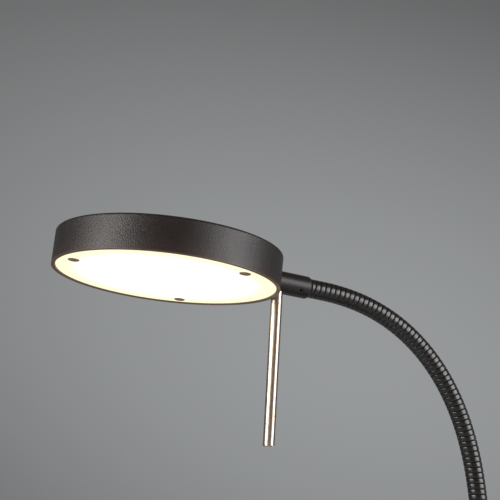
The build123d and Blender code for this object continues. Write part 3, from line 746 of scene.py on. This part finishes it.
# ---- geometry trees -----------------------------------------------------------------------------------
class ShapeTree:
    """A Geometry Nodes tree with named inputs, from which plain pieces are made."""

    title: ClassVar[str] = "shape"
    inputs: ClassVar[dict[str, str]] = {}

    def __init__(self) -> None:
        """Makes the tree's inputs, its shape and its output."""
        self.tree = bpy.data.node_groups.new(self.title, "GeometryNodeTree")
        self.graph = Graph(self.tree)
        interface = self.tree.interface
        interface.new_socket(name="Mesh", in_out="OUTPUT", socket_type="NodeSocketGeometry")
        self.sockets: dict[str, str] = {}
        for name, kind in {**self.inputs, "Material": "Material"}.items():
            made = interface.new_socket(name=name, in_out="INPUT", socket_type="NodeSocket" + kind)
            self.sockets[name] = made.identifier
        entry = self.tree.nodes.new("NodeGroupInput")
        given = {socket.name: Wire(self.graph, socket) for socket in entry.outputs if socket.name}
        whole = self.graph.node("GeometryNodeRealizeInstances", None, {"Geometry": self.shape(given)})
        dressed = self.graph.node("GeometryNodeSetMaterial", None, {
            "Geometry": whole, "Material": given["Material"],
        })
        self.graph.node("NodeGroupOutput", None, {0: dressed})

    def shape(self, given: dict[str, Wire]) -> Wire:
        """Builds the tree's shape from its inputs."""
        raise NotImplementedError

    def make(self, name: str, values: dict[str, object]) -> bpy.types.Object:
        """Runs the tree and keeps what it makes as a plain mesh.

        Args:
            name: The piece's name.
            values: A value for each input.

        Returns:
            The piece, at the origin.
        """
        carrier = lay_out(name + "_carrier", bpy.data.meshes.new(name + "_carrier"))
        modifier = carrier.modifiers.new(self.title, "NODES")
        modifier.node_group = self.tree
        for key, value in values.items():
            modifier[self.sockets[key]] = value
        graph = bpy.context.evaluated_depsgraph_get()
        mesh = bpy.data.meshes.new_from_object(carrier.evaluated_get(graph))
        bpy.data.objects.remove(carrier)
        if mesh.materials[0] is None:
            mesh.materials.pop(index=0)
        mesh.name = name
        return lay_out(name, mesh)


class RoundelTree(ShapeTree):
    """Copies of a master piece evenly round a circle, in a frame of its own."""

    title = "roundel"
    inputs = {
        "Master": "Object", "Count": "Int", "Radius": "Float", "First angle": "Float", "Place": "Vector",
        "Turn": "Vector",
    }

    def shape(self, given: dict[str, Wire]) -> Wire:
        """Puts an instance on each point of a circle. See ShapeTree.shape."""
        graph = self.graph
        circle = graph.node("GeometryNodeMeshCircle", None, {
            "Vertices": given["Count"], "Radius": given["Radius"],
        })
        master = graph.node("GeometryNodeObjectInfo", None, {"Object": given["Master"]}, "Geometry")
        turned = graph.node("GeometryNodeTransform", None, {
            "Geometry": graph.node("GeometryNodeInstanceOnPoints", None, {
                "Points": circle, "Instance": master,
            }),
            "Rotation": graph.vector(0, 0, given["First angle"]),
        })
        return graph.node("GeometryNodeTransform", None, {
            "Geometry": turned, "Translation": given["Place"], "Rotation": given["Turn"],
        })


class WindingTree(ShapeTree):
    """A wire wound round a line, with a closed skin and closed ends."""

    title = "winding"
    inputs = {
        "Line": "Object", "Start": "Float", "End": "Float", "Turns": "Float", "Phase": "Float",
        "Lowest": "Float", "Highest": "Float", "Sliver": "Float", "Crest": "Float", "Height": "Float",
        "Width": "Float", "Squareness": "Float", "Steps per turn": "Int", "Steps round": "Int",
    }
    merge_distance: ClassVar[float] = 1e-6
    fan_limit: ClassVar[float] = 0.9
    point_limit: ClassVar[float] = 0.5

    def shape(self, given: dict[str, Wire]) -> Wire:
        """Bends a grid into the wire: each of its columns becomes a ring round the wire's section.

        The outermost column at each end shrinks to a point and closes the end with a fan of faces. The
        limits tell such points and faces from the others. See ShapeTree.shape.
        """
        graph = self.graph
        steps = graph.unary("ROUND", given["Turns"] * given["Steps per turn"])
        last = steps + 2
        grid = graph.node("GeometryNodeMeshGrid", None, {
            "Size X": 1.0, "Size Y": 1.0, "Vertices X": last + 1, "Vertices Y": given["Steps round"] + 1,
        })
        place = graph.node("GeometryNodeInputPosition")
        column = (graph.part(place, "X") + 0.5) * last
        inside = graph.maths("MINIMUM", column, last - column)
        share = graph.node("ShaderNodeClamp", None, {"Value": (column - 1) / steps})
        angle = (graph.part(place, "Y") + 0.5) * FULL_TURN
        smooth = graph.node("GeometryNodeSetShadeSmooth", None, {
            "Geometry": grid, "Shade Smooth": graph.maths("GREATER_THAN", inside, self.fan_limit),
        })
        open_end = graph.maths("GREATER_THAN", inside, self.point_limit)
        shape, crown = self.wire_place(given, share, angle, open_end)
        crowned = graph.node("GeometryNodeStoreNamedAttribute", None, {
            "Geometry": smooth, "Name": "crown", "Value": crown,
        })
        moved = graph.node("GeometryNodeSetPosition", None, {"Geometry": crowned, "Position": shape})
        return graph.node("GeometryNodeMergeByDistance", None, {
            "Geometry": moved, "Distance": self.merge_distance,
        })

    def squared(self, value: Wire, power: Wire) -> Wire:
        """A sine or cosine drawn out towards a square, which makes a circle a rounded square."""
        return self.graph.unary("SIGN", value) * abs(value) ** power

    def wire_place(self, given: dict[str, Wire], share: Wire, angle: Wire,
                   open_end: Wire) -> tuple[Wire, Wire]:
        """Where the grid's points lie on the wire.

        Args:
            given: The tree's inputs.
            share: How far along the wire, from 0 to 1.
            angle: The angle round the wire's own section.
            open_end: 0 on the outermost columns, which close the ends, and 1 elsewhere.

        Returns:
            The place, and the height on the wire's crown from 0 to 1.
        """
        graph = self.graph
        power = 2 / given["Squareness"]
        sideways = self.squared(graph.unary("COSINE", angle), power) * open_end
        outwards = self.squared(graph.unary("SINE", angle), power) * open_end
        middle = given["Start"] + share * (given["End"] - given["Start"])
        length = middle + sideways * given["Width"] / 2
        length = graph.maths("MAXIMUM", length, given["Lowest"] + (1 + sideways) * given["Sliver"])
        length = graph.maths("MINIMUM", length, given["Highest"] - (1 - sideways) * given["Sliver"])
        line = graph.node("GeometryNodeObjectInfo", None, {"Object": given["Line"]}, "Geometry")
        settings = {"mode": "LENGTH", "use_all_curves": True}
        inputs = {"Curves": line, "Length": length}
        centre = graph.node("GeometryNodeSampleCurve", settings, inputs, "Position")
        tangent = Wire(graph, centre.socket.node.outputs["Tangent"])
        side = graph.vector(*SIDEWAYS)
        under = graph.maths("CROSS_PRODUCT", tangent, side)
        turn = (share * given["Turns"] + given["Phase"]) * FULL_TURN
        radius = given["Crest"] - given["Height"] / 2 + outwards * given["Height"] / 2
        spoke = under * graph.unary("COSINE", turn) + side * graph.unary("SINE", turn)
        return centre + spoke * radius, outwards / 2 + 0.5


# ---- the neck's line and the head's place -------------------------------------------------------------
def neck_joints() -> list[dict]:
    """The neck's joints from the base to the head."""
    by_parent = {joint["parent"]: joint for joint in frame["joints"] if joint["type"] == "hinge"}
    ordered = []
    body = "base"
    while body in by_parent:
        ordered.append(by_parent[body])
        body = by_parent[body]["child"]
    return ordered


class NeckLine:
    """The neck's centre line at rest: each hinge's kink is rounded between the middles of its links."""

    arc_steps: ClassVar[int] = 16

    def __init__(self) -> None:
        """Reads the hinge points and works the line out."""
        self.hinges = [Vector(joint["pos_m"]) for joint in neck_joints()]
        self.link = (self.hinges[1] - self.hinges[0]).length
        self.root = self.hinges[0] + DOWN * self.link
        self.end = self.hinges[-1] + Vector((-cos(HEAD_TILT), 0, sin(HEAD_TILT))) * self.link
        self.points = [self.root]
        self.cuts: list[float] = []
        self.trace()

    def trace(self) -> None:
        """Fills in the points, and the length along the line at the middle of each link."""
        corners = [self.root, *self.hinges, self.end]
        for before, corner, after in zip(corners, corners[1:], corners[2:]):
            start = corner + (before - corner).normalized() * self.link / 2
            end = corner + (after - corner).normalized() * self.link / 2
            if not self.cuts:
                self.points.append(start)
                self.cuts.append(self.length())
            self.points += arc(start, corner, end, self.arc_steps)
            self.cuts.append(self.length())
        self.points.append(self.end)

    def length(self) -> float:
        """The length of the points so far."""
        return sum((after - before).length for before, after in zip(self.points, self.points[1:]))

    def at(self, length: float) -> Vector:
        """The point at a length along the line."""
        left = length
        for before, after in zip(self.points, self.points[1:]):
            step = (after - before).length
            if left <= step:
                return before.lerp(after, left / step)
            left -= step
        return self.points[-1]

    def curve(self) -> bpy.types.Object:
        """The line as a curve object for the winding's tree to follow."""
        data = bpy.data.curves.new("neck_line", "CURVE")
        data.dimensions = "3D"
        spline = data.splines.new("POLY")
        spline.points.add(len(self.points) - 1)
        for point, place in zip(spline.points, self.points):
            point.co = (*place, 1)
        return lay_out("neck_line", data)


@dataclass(frozen=True)
class HeadPlace:
    """The drum's frame: its origin is the open rim's middle, X points to the neck and Z to the roof."""

    line: NeckLine
    collar_axis: float = 14.5 * MM
    collar_end: float = 110.5 * MM

    @property
    def along(self) -> Vector:
        """The drum's X axis."""
        return Vector((cos(HEAD_TILT), 0, -sin(HEAD_TILT)))

    @property
    def upward(self) -> Vector:
        """The drum's Z axis."""
        return Vector((sin(HEAD_TILT), 0, cos(HEAD_TILT)))

    @property
    def origin(self) -> Vector:
        """The middle of the open rim."""
        return self.line.end - self.along * self.collar_end - self.upward * self.collar_axis

    def matrix(self) -> Matrix:
        """The drum's frame as a matrix."""
        return frame_at(self.origin, self.along, self.upward)


# ---- the sub-assemblies -------------------------------------------------------------------------------
@dataclass
class LightHead(SubAssembly):
    """The drum with its lit disc. The disc's three dome-headed screws are new pieces; sizes in mm."""

    place: HeadPlace
    screw_count: int = 3
    screw_circle: float = 67.4
    first_screw_angle: float = radians(60)
    screw_radius: float = 2.0
    screw_end: float = 10.0
    recess: float = 0.8
    cap_radius: float = 4.0
    cap_height: float = 1.0
    edge_fall: float = 0.55
    cap_rounding: float = 0.25
    dome_inset: float = 0.9
    dome_fall: float = 0.06
    dome_rounding: float = 3.0
    socket_radius: float = 1.1
    socket_depth: float = 0.7
    socket_rim: float = 0.3
    socket_sides: int = 6
    screw_steps: int = 48
    # The screws' finish gives off a faint painted glow.
    screw_finish: Finish = Backlit("backlit_screw", (0.16, 0.11, 0.085), 0.4, metallic=0.3,
                                   relief=0.006 * MM)
    nodes: ClassVar[tuple[str, ...]] = (
        "head_housing", "collar_washer", "collar_nut", "led_board", "led_chips", "led_board_screws",
        "reflector_ring", "head_terminal", "head_lead", "diffuser", "diffuser_screws",
    )

    def build(self) -> list[Made]:
        """Makes the disc's screws from one master."""
        master = self.screw().piece("screw_master", Matrix.Identity(4))
        place = self.place.matrix()
        screws = RoundelTree().make("diffuser_screw_set", {
            "Master": master, "Count": self.screw_count, "Radius": self.screw_circle * MM,
            "First angle": self.first_screw_angle, "Place": place.to_translation(),
            "Turn": Vector(place.to_euler()), "Material": self.screw_finish.material(),
        })
        bpy.data.objects.remove(master)
        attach(screws, "head")
        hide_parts("diffuser_screws")
        return [Made(screws, Slot.SCREW_BLACK)]

    def screw(self) -> Turning:
        """A screw with a low domed head and a hexagon socket, its head at the foot of its axis."""
        face = self.recess - self.cap_height
        floor = face + self.socket_depth
        return Turning((
            Corner(0, floor), Corner(self.socket_radius, floor, sides=self.socket_sides),
            Corner(self.socket_radius, face, sides=self.socket_sides),
            Corner(self.socket_radius + self.socket_rim, face),
            Corner(self.cap_radius - self.dome_inset, face + self.dome_fall, self.dome_rounding),
            Corner(self.cap_radius, face + self.edge_fall, self.cap_rounding),
            Corner(self.cap_radius, self.recess), Corner(self.screw_radius, self.recess),
            Corner(self.screw_radius, self.screw_end), Corner(0, self.screw_end),
        ), steps_round=self.screw_steps)


@dataclass
class Handle(SubAssembly):
    """The brushed rod that hangs from the collar, turned with a softly rounded foot; sizes in mm."""

    place: HeadPlace
    radius: float = 4.2
    length: float = 111.2
    stud_radius: float = 2.5
    stud_length: float = 4.0
    foot_rounding: float = 0.7
    lean: float = radians(2.8)
    seat_out: float = 86.0
    seat_up: float = 7.15
    nodes: ClassVar[tuple[str, ...]] = ("handle_rod",)

    def build(self) -> list[Made]:
        """Turns the rod about its leaning axis."""
        axis = self.place.along * sin(self.lean) - self.place.upward * cos(self.lean)
        seat = self.place.matrix() @ Vector((self.seat_out * MM, 0, self.seat_up * MM))
        turning = Turning((
            Corner(0, -self.stud_length), Corner(self.stud_radius, -self.stud_length),
            Corner(self.stud_radius, 0), Corner(self.radius, 0),
            Corner(self.radius, self.length, self.foot_rounding), Corner(0, self.length),
        ))
        rod = turning.piece("grab_rod", frame_at(seat, SIDEWAYS, axis))
        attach(rod, "head")
        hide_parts("handle_rod")
        return [Made(rod, Slot.CHROME)]


@dataclass
class Collars(SubAssembly):
    """The two collars at the neck's ends with their set screws."""

    nodes: ClassVar[tuple[str, ...]] = (
        "neck_collar_upper", "collar_set_screw_upper", "neck_collar_lower", "collar_set_screw_lower",
    )


@dataclass
class Gooseneck(SubAssembly):
    """The wound neck: one stretch of wire for each joint, and a half stretch at each end.

    The end stretches run on by part of a turn and are cut off at the ends of the neck's line, and go with
    the bodies at the neck's ends. The others run between the middles of two links and go with no body.
    """

    line: NeckLine
    crest: float = 7.0 * MM
    wire_height: float = 2.0 * MM
    turns_per_link: int = 6
    end_turns: float = 0.5
    stiff_turns: float = 0.8
    gap: float = 0.05 * MM
    sliver: float = 0.04 * MM
    squareness: float = 4.2
    steps_per_turn: int = 40
    steps_round: int = 24
    nodes: ClassVar[tuple[str, ...]] = (
        *(f"neck_link_{number:02d}" for number in range(1, LINK_COUNT + 1)),
        *(f"neck_lead_{number:02d}" for number in range(1, LINK_COUNT + 1)),
    )

    def build(self) -> list[Made]:
        """Winds every stretch from the stem to the head, and gives the end stretches to the bodies at the
        neck's ends.
        """
        self.tree = WindingTree()
        self.path = self.line.curve()
        joints = neck_joints()
        cuts = self.line.cuts
        half = self.turns_per_link / 2 + self.end_turns
        pitch = self.line.link / self.turns_per_link
        over, stiff = pitch * self.end_turns, pitch * self.stiff_turns
        pieces = [self.wind(1, -over, cuts[0], half, -half)]
        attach(pieces[0], joints[0]["parent"])
        for index, joint in enumerate(joints):
            piece = self.wind(index + 2, cuts[index], cuts[index + 1], self.turns_per_link, 0)
            start = self.line.at(cuts[index] + stiff)
            end = self.line.at(cuts[index + 1] - stiff)
            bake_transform(piece)
            pieces.append(piece)
        pieces.append(self.wind(len(joints) + 2, cuts[-1], self.line.length() + over, half, 0))
        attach(pieces[-1], joints[-1]["child"])
        for number, piece in enumerate(pieces[:-1], 1):
            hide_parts(f"neck_link_{number:02d}")
        bpy.data.objects.remove(self.path)
        return [Made(piece, Slot.NECK) for piece in pieces]

    def wind(self, number: int, start: float, end: float, turns: float, phase: float) -> bpy.types.Object:
        """Winds one stretch of wire.

        Args:
            number: The stretch's number from the stem.
            start: The length along the neck where the wire's middle starts.
            end: The length along the neck where it ends.
            turns: How many turns it makes.
            phase: The turn that it starts on.

        Returns:
            The stretch as a plain mesh object.
        """
        return self.tree.make(f"neck_winding_{number:02d}", {
            "Line": self.path, "Start": start, "End": end, "Turns": float(turns), "Phase": float(phase),
            "Lowest": 0.0, "Highest": self.line.length(), "Sliver": self.sliver, "Crest": self.crest,
            "Height": self.wire_height, "Width": (end - start) / turns - self.gap,
            "Squareness": self.squareness, "Steps per turn": self.steps_per_turn,
            "Steps round": self.steps_round, "Material": self.wardrobe.chosen[Slot.NECK].material(),
        })


@dataclass
class Stem(SubAssembly):
    """The rigid tube, with the turned foot that covers its hole in the base; sizes in mm."""

    level: float = 20.0
    inner: float = 8.1
    foot_radius: float = 18.0
    foot_side: float = 3.0
    foot_height: float = 7.0
    crown_radius: float = 11.33
    edge_rounding: float = 0.3
    shoulder_rounding: float = 1.6
    crown_rounding: float = 3.5
    lip_rounding: float = 0.4
    nodes: ClassVar[tuple[str, ...]] = ("stem", "stem_flange", "stem_washer", "stem_nut", "stem_lead")

    def build(self) -> list[Made]:
        """Turns the foot with rounded edges."""
        top = self.level + self.foot_height
        turning = Turning((
            Corner(self.inner, self.level), Corner(self.foot_radius, self.level, self.edge_rounding),
            Corner(self.foot_radius, self.level + self.foot_side, self.shoulder_rounding),
            Corner(self.crown_radius, top, self.crown_rounding),
            Corner(self.inner, top, self.lip_rounding),
        ), loop=True)
        foot = turning.piece("stem_foot", Matrix.Identity(4))
        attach(foot, "base")
        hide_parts("stem_flange")
        return [Made(foot, Slot.BASE)]


@dataclass
class Base(SubAssembly):
    """The weighted base, with a ribbed bush where a lead passes its wall; sizes in mm.

    The rib profile pairs places along a rib, in ribs, with shares of the grooves' depth.
    """

    wall_radius: float = 100.0
    bush_level: float = 9.3
    bush_inner: float = 3.1
    bush_radius: float = 4.6
    bush_tip_radius: float = 3.85
    bush_tail: float = 10.5
    flange_radius: float = 6.6
    flange_thickness: float = 2.0
    nose_length: float = 5.0
    edge_rounding: float = 0.3
    flange_rounding: float = 0.7
    mouth_rounding: float = 0.2
    rib_count: int = 4
    rib_depth: float = 0.45
    rib_rounding: float = 0.08
    rib_profile: ClassVar[tuple[tuple[float, float], ...]] = ((0.5, 0), (0.65, 1), (0.95, 1), (1.1, 0))
    nodes: ClassVar[tuple[str, ...]] = (
        "base_cover", "base_weight", "base_plate", "base_plate_screws", "base_pad", "led_driver",
        "cord_gland", "gland_nut",
    )

    def build(self) -> list[Made]:
        """Turns the bush with its ribs about an axis along X."""
        thick = self.flange_thickness
        tip = thick + self.nose_length
        turning = Turning((
            Corner(self.bush_inner, -self.bush_tail),
            Corner(self.bush_radius, -self.bush_tail, self.edge_rounding),
            Corner(self.bush_radius, 0), Corner(self.flange_radius, 0),
            Corner(self.flange_radius, thick, self.flange_rounding), Corner(self.bush_radius, thick),
            *self.ribs(thick), Corner(self.bush_tip_radius, tip, self.edge_rounding),
            Corner(self.bush_inner, tip, self.mouth_rounding),
        ), loop=True, steps_round=64, steps_corner=2)
        seat = Vector((self.wall_radius, 0, self.bush_level)) * MM
        bush = turning.piece("lead_bush", frame_at(seat, SIDEWAYS, OUTWARD))
        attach(bush, "base")
        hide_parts("cord_gland")
        return [Made(bush, Slot.GLAND)]

    def ribs(self, foot: float) -> list[Corner]:
        """The grooves between the ribs of the bush's tapered nose, the first half a rib from its foot."""
        made = []
        pitch = self.nose_length / (self.rib_count + 0.5)
        fall = (self.bush_radius - self.bush_tip_radius) / self.nose_length
        for rib in range(self.rib_count):
            for place, share in self.rib_profile:
                out = (rib + place) * pitch
                radius = self.bush_radius - fall * out - self.rib_depth * share
                made.append(Corner(radius, foot + out, self.rib_rounding))
        return made


@dataclass
class PushSwitch(SubAssembly):
    """The push switch in the base's top: a round bezel and a dished button; sizes in mm."""

    from_axis: float = -58.0
    level: float = 20.0
    barrel_radius: float = 9.2
    barrel_length: float = 14.0
    bezel_radius: float = 11.0
    bezel_height: float = 2.0
    well_radius: float = 7.56
    well_floor: float = 13.3
    button_radius: float = 7.5
    button_top: float = 23.0
    button_length: float = 7.4
    dish_radius: float = 5.8
    dish_depth: float = 0.7
    dish_steps: int = 8
    edge_rounding: float = 0.3
    bezel_rounding: float = 0.9
    button_rounding: float = 0.7
    dish_rounding: float = 0.5
    nodes: ClassVar[tuple[str, ...]] = ("switch_body", "switch_nut", "switch_button", "switch_lead")

    def build(self) -> list[Made]:
        """Turns the bezel with its barrel, and the button."""
        rim = self.level + self.bezel_height
        foot = self.level - self.barrel_length
        button_foot = self.button_top - self.button_length
        body = Turning((
            Corner(0, foot), Corner(self.barrel_radius, foot, self.edge_rounding),
            Corner(self.barrel_radius, self.level), Corner(self.bezel_radius, self.level),
            Corner(self.bezel_radius, rim, self.bezel_rounding),
            Corner(self.well_radius, rim, self.edge_rounding),
            Corner(self.well_radius, self.well_floor), Corner(0, self.well_floor),
        ))
        button = Turning((
            Corner(0, button_foot), Corner(self.button_radius, button_foot),
            Corner(self.button_radius, self.button_top, self.button_rounding),
            Corner(self.dish_radius, self.button_top, self.dish_rounding), *self.dish(),
        ))
        place = Matrix.Translation((self.from_axis * MM, 0, 0))
        bezel_piece = body.piece("switch_bezel", place)
        button_piece = button.piece("dished_button", place)
        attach(bezel_piece, "base")
        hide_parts("switch_body")
        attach(button_piece, "button")
        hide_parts("switch_button")
        return [Made(bezel_piece, Slot.SWITCH), Made(button_piece, Slot.BUTTON)]

    def dish(self) -> list[Corner]:
        """The button's hollow top from near its edge to the middle."""
        made = []
        for step in range(1, self.dish_steps + 1):
            share = 1 - step / self.dish_steps
            height = self.button_top - self.dish_depth * (1 - share**2)
            made.append(Corner(self.dish_radius * share, height))
        return made


# ---- the studio -----------------------------------------------------------------------------------------
@dataclass(frozen=True)
class Softbox:
    """A rectangular soft light, which shines within a cone.

    Its bearing is the angle round the target, in degrees from the camera towards the right of the view.
    Its aim is how far to the right of the target it points, in metres.
    """

    name: str
    bearing: float
    height: float
    distance: float
    width: float
    tall: float
    level: float
    colour: Colour = (1.0, 1.0, 1.0)
    cone: float = radians(130)
    aim: float = 0.0

    def build(self, target: Vector, facing: float) -> bpy.types.Object:
        """Makes the light.

        Args:
            target: The point that it faces.
            facing: The camera's heading, which the bearing is counted from.

        Returns:
            The light's object.
        """
        data = bpy.data.lights.new(self.name, "AREA")
        data.shape = "RECTANGLE"
        data.size = self.width
        data.size_y = self.tall
        data.energy = self.level * pi * self.width * self.tall
        data.color = self.colour
        data.spread = self.cone
        made = lay_out(self.name, data)
        bearing = facing - radians(self.bearing)
        away = Vector((-sin(bearing), -cos(bearing), 0)) * self.distance
        made.location = target + away + Vector((0, 0, self.height))
        aside = Vector((cos(facing), -sin(facing), 0)) * self.aim
        made.rotation_euler = (target + aside - made.location).to_track_quat("-Z", "Y").to_euler()
        made.visible_camera = False
        return made


@dataclass
class Studio:
    """The camera, the soft lights, the pale floor and the grey surroundings."""

    camera_place: Vector
    heading: float = radians(25.141)
    pitch: float = radians(11.512)
    lens: float = 88.178
    floor_radius: float = 3.0
    floor_steps: int = 96
    floor_colour: Colour = (0.62, 0.62, 0.61)
    pool_heading: float = radians(29.8)
    pool_height: float = 0.114
    pool_radius: float = 0.882
    pool_flatness: float = 1.545
    pool_lean: float = 0.496
    backdrop_colour: Colour = (0.3086, 0.3193, 0.3225)
    backdrop_floor: float = 0.42
    room_colour: Colour = (0.16, 0.10, 0.075)
    room_end: float = -0.2
    backdrop_start: float = 0.6
    ambient: float = 0.12

    def build(self, target: Vector) -> None:
        """Makes everything round the lamp.

        Args:
            target: The point that the lights face.
        """
        self.make_camera()
        self.make_floor()
        self.make_world()
        boxes = (
            Softbox("right_box", bearing=70, height=0.22, distance=1.6, width=1.25, tall=1.15, level=2.85),
            Softbox("left_box", bearing=-61, height=0.25, distance=1.6, width=1.5, tall=1.15, level=1.08,
                    colour=(1.0, 0.975, 0.95), cone=radians(60), aim=-0.12),
        )
        for box in boxes:
            box.build(target, self.heading)
            log.info("lit %s", box.name)

    def make_camera(self) -> None:
        """Makes the camera and sets it."""
        data = bpy.data.cameras.new("camera")
        data.lens = self.lens
        made = lay_out("camera", data)
        made.location = self.camera_place
        made.rotation_euler = (pi / 2 + self.pitch, 0, -self.heading)
        bpy.context.scene.camera = made
        bpy.context.scene.view_settings.view_transform = "Standard"

    def make_floor(self) -> None:
        """Makes the round floor that the lamp stands on."""
        steps = range(self.floor_steps)
        angles = [FULL_TURN * step / self.floor_steps for step in steps]
        ring = [(self.floor_radius * cos(angle), self.floor_radius * sin(angle), 0) for angle in angles]
        mesh = bpy.data.meshes.new("floor")
        mesh.from_pydata(ring, [], [tuple(steps)])
        paper = FloorPaper("floor_paper", self.floor_colour, roughness=0.85, mottle=0.02)
        mesh.materials.append(paper.material())
        lay_out("floor", mesh)

    def make_world(self) -> None:
        """A grey backdrop with a soft pool of light, a warm dim room behind it, and even light."""
        world = bpy.data.worlds.new("surroundings")
        bpy.context.scene.world = world
        world.use_nodes = True
        world.node_tree.nodes.clear()
        graph = Graph(world.node_tree)
        look = graph.node("ShaderNodeTexCoord", output="Generated")
        heading = self.pool_heading
        offset = look - graph.vector(sin(heading), cos(heading), self.pool_height)
        rise = graph.part(offset, "Z")
        lean = graph.vector(cos(heading) * self.pool_lean, -sin(heading) * self.pool_lean, 0) * rise
        stretched = graph.maths("MULTIPLY", offset, graph.vector(1, 1, self.pool_flatness)) + lean
        away = graph.maths("LENGTH", stretched)
        tone = graph.maths("MAXIMUM", graph.spread(1 - away / self.pool_radius, 0, 1), self.backdrop_floor)
        backdrop = graph.mix(tone, BLACK, self.backdrop_colour)
        ahead = graph.maths("DOT_PRODUCT", look, graph.vector(sin(heading), cos(heading), 0))
        share = graph.spread(ahead, self.room_end, self.backdrop_start)
        room = graph.mix(share, self.room_colour, backdrop)
        path = graph.node("ShaderNodeLightPath").socket.node
        direct, glossy, through = (
            Wire(graph, path.outputs[f"Is {kind} Ray"]) for kind in ("Camera", "Glossy", "Transmission")
        )
        shown = graph.node("ShaderNodeBackground", None, {"Color": graph.mix(direct, room, backdrop)})
        even = graph.node("ShaderNodeBackground", None, {"Color": (1, 1, 1, 1), "Strength": self.ambient})
        seen = graph.maths("MAXIMUM", graph.maths("MAXIMUM", direct, glossy), through)
        both = graph.node("ShaderNodeMixShader", None, {0: seen, 1: even, 2: shown})
        graph.node("ShaderNodeOutputWorld", None, {"Surface": both})


def main() -> None:
    """Builds the lamp's looks and the studio."""
    logging.basicConfig(level=logging.INFO, format="%(name)s: %(message)s")
    line = NeckLine()
    head = HeadPlace(line)
    wardrobe = Wardrobe(finishes(head))
    groups = (
        LightHead(wardrobe, head),
        Handle(wardrobe, head),
        Collars(wardrobe),
        Gooseneck(wardrobe, line),
        Stem(wardrobe),
        Base(wardrobe),
        PushSwitch(wardrobe),
    )
    for group in groups:
        group.assemble()
    Studio(CAMERA_PLACE).build(head.origin)


if __name__ == "__main__":
    main()
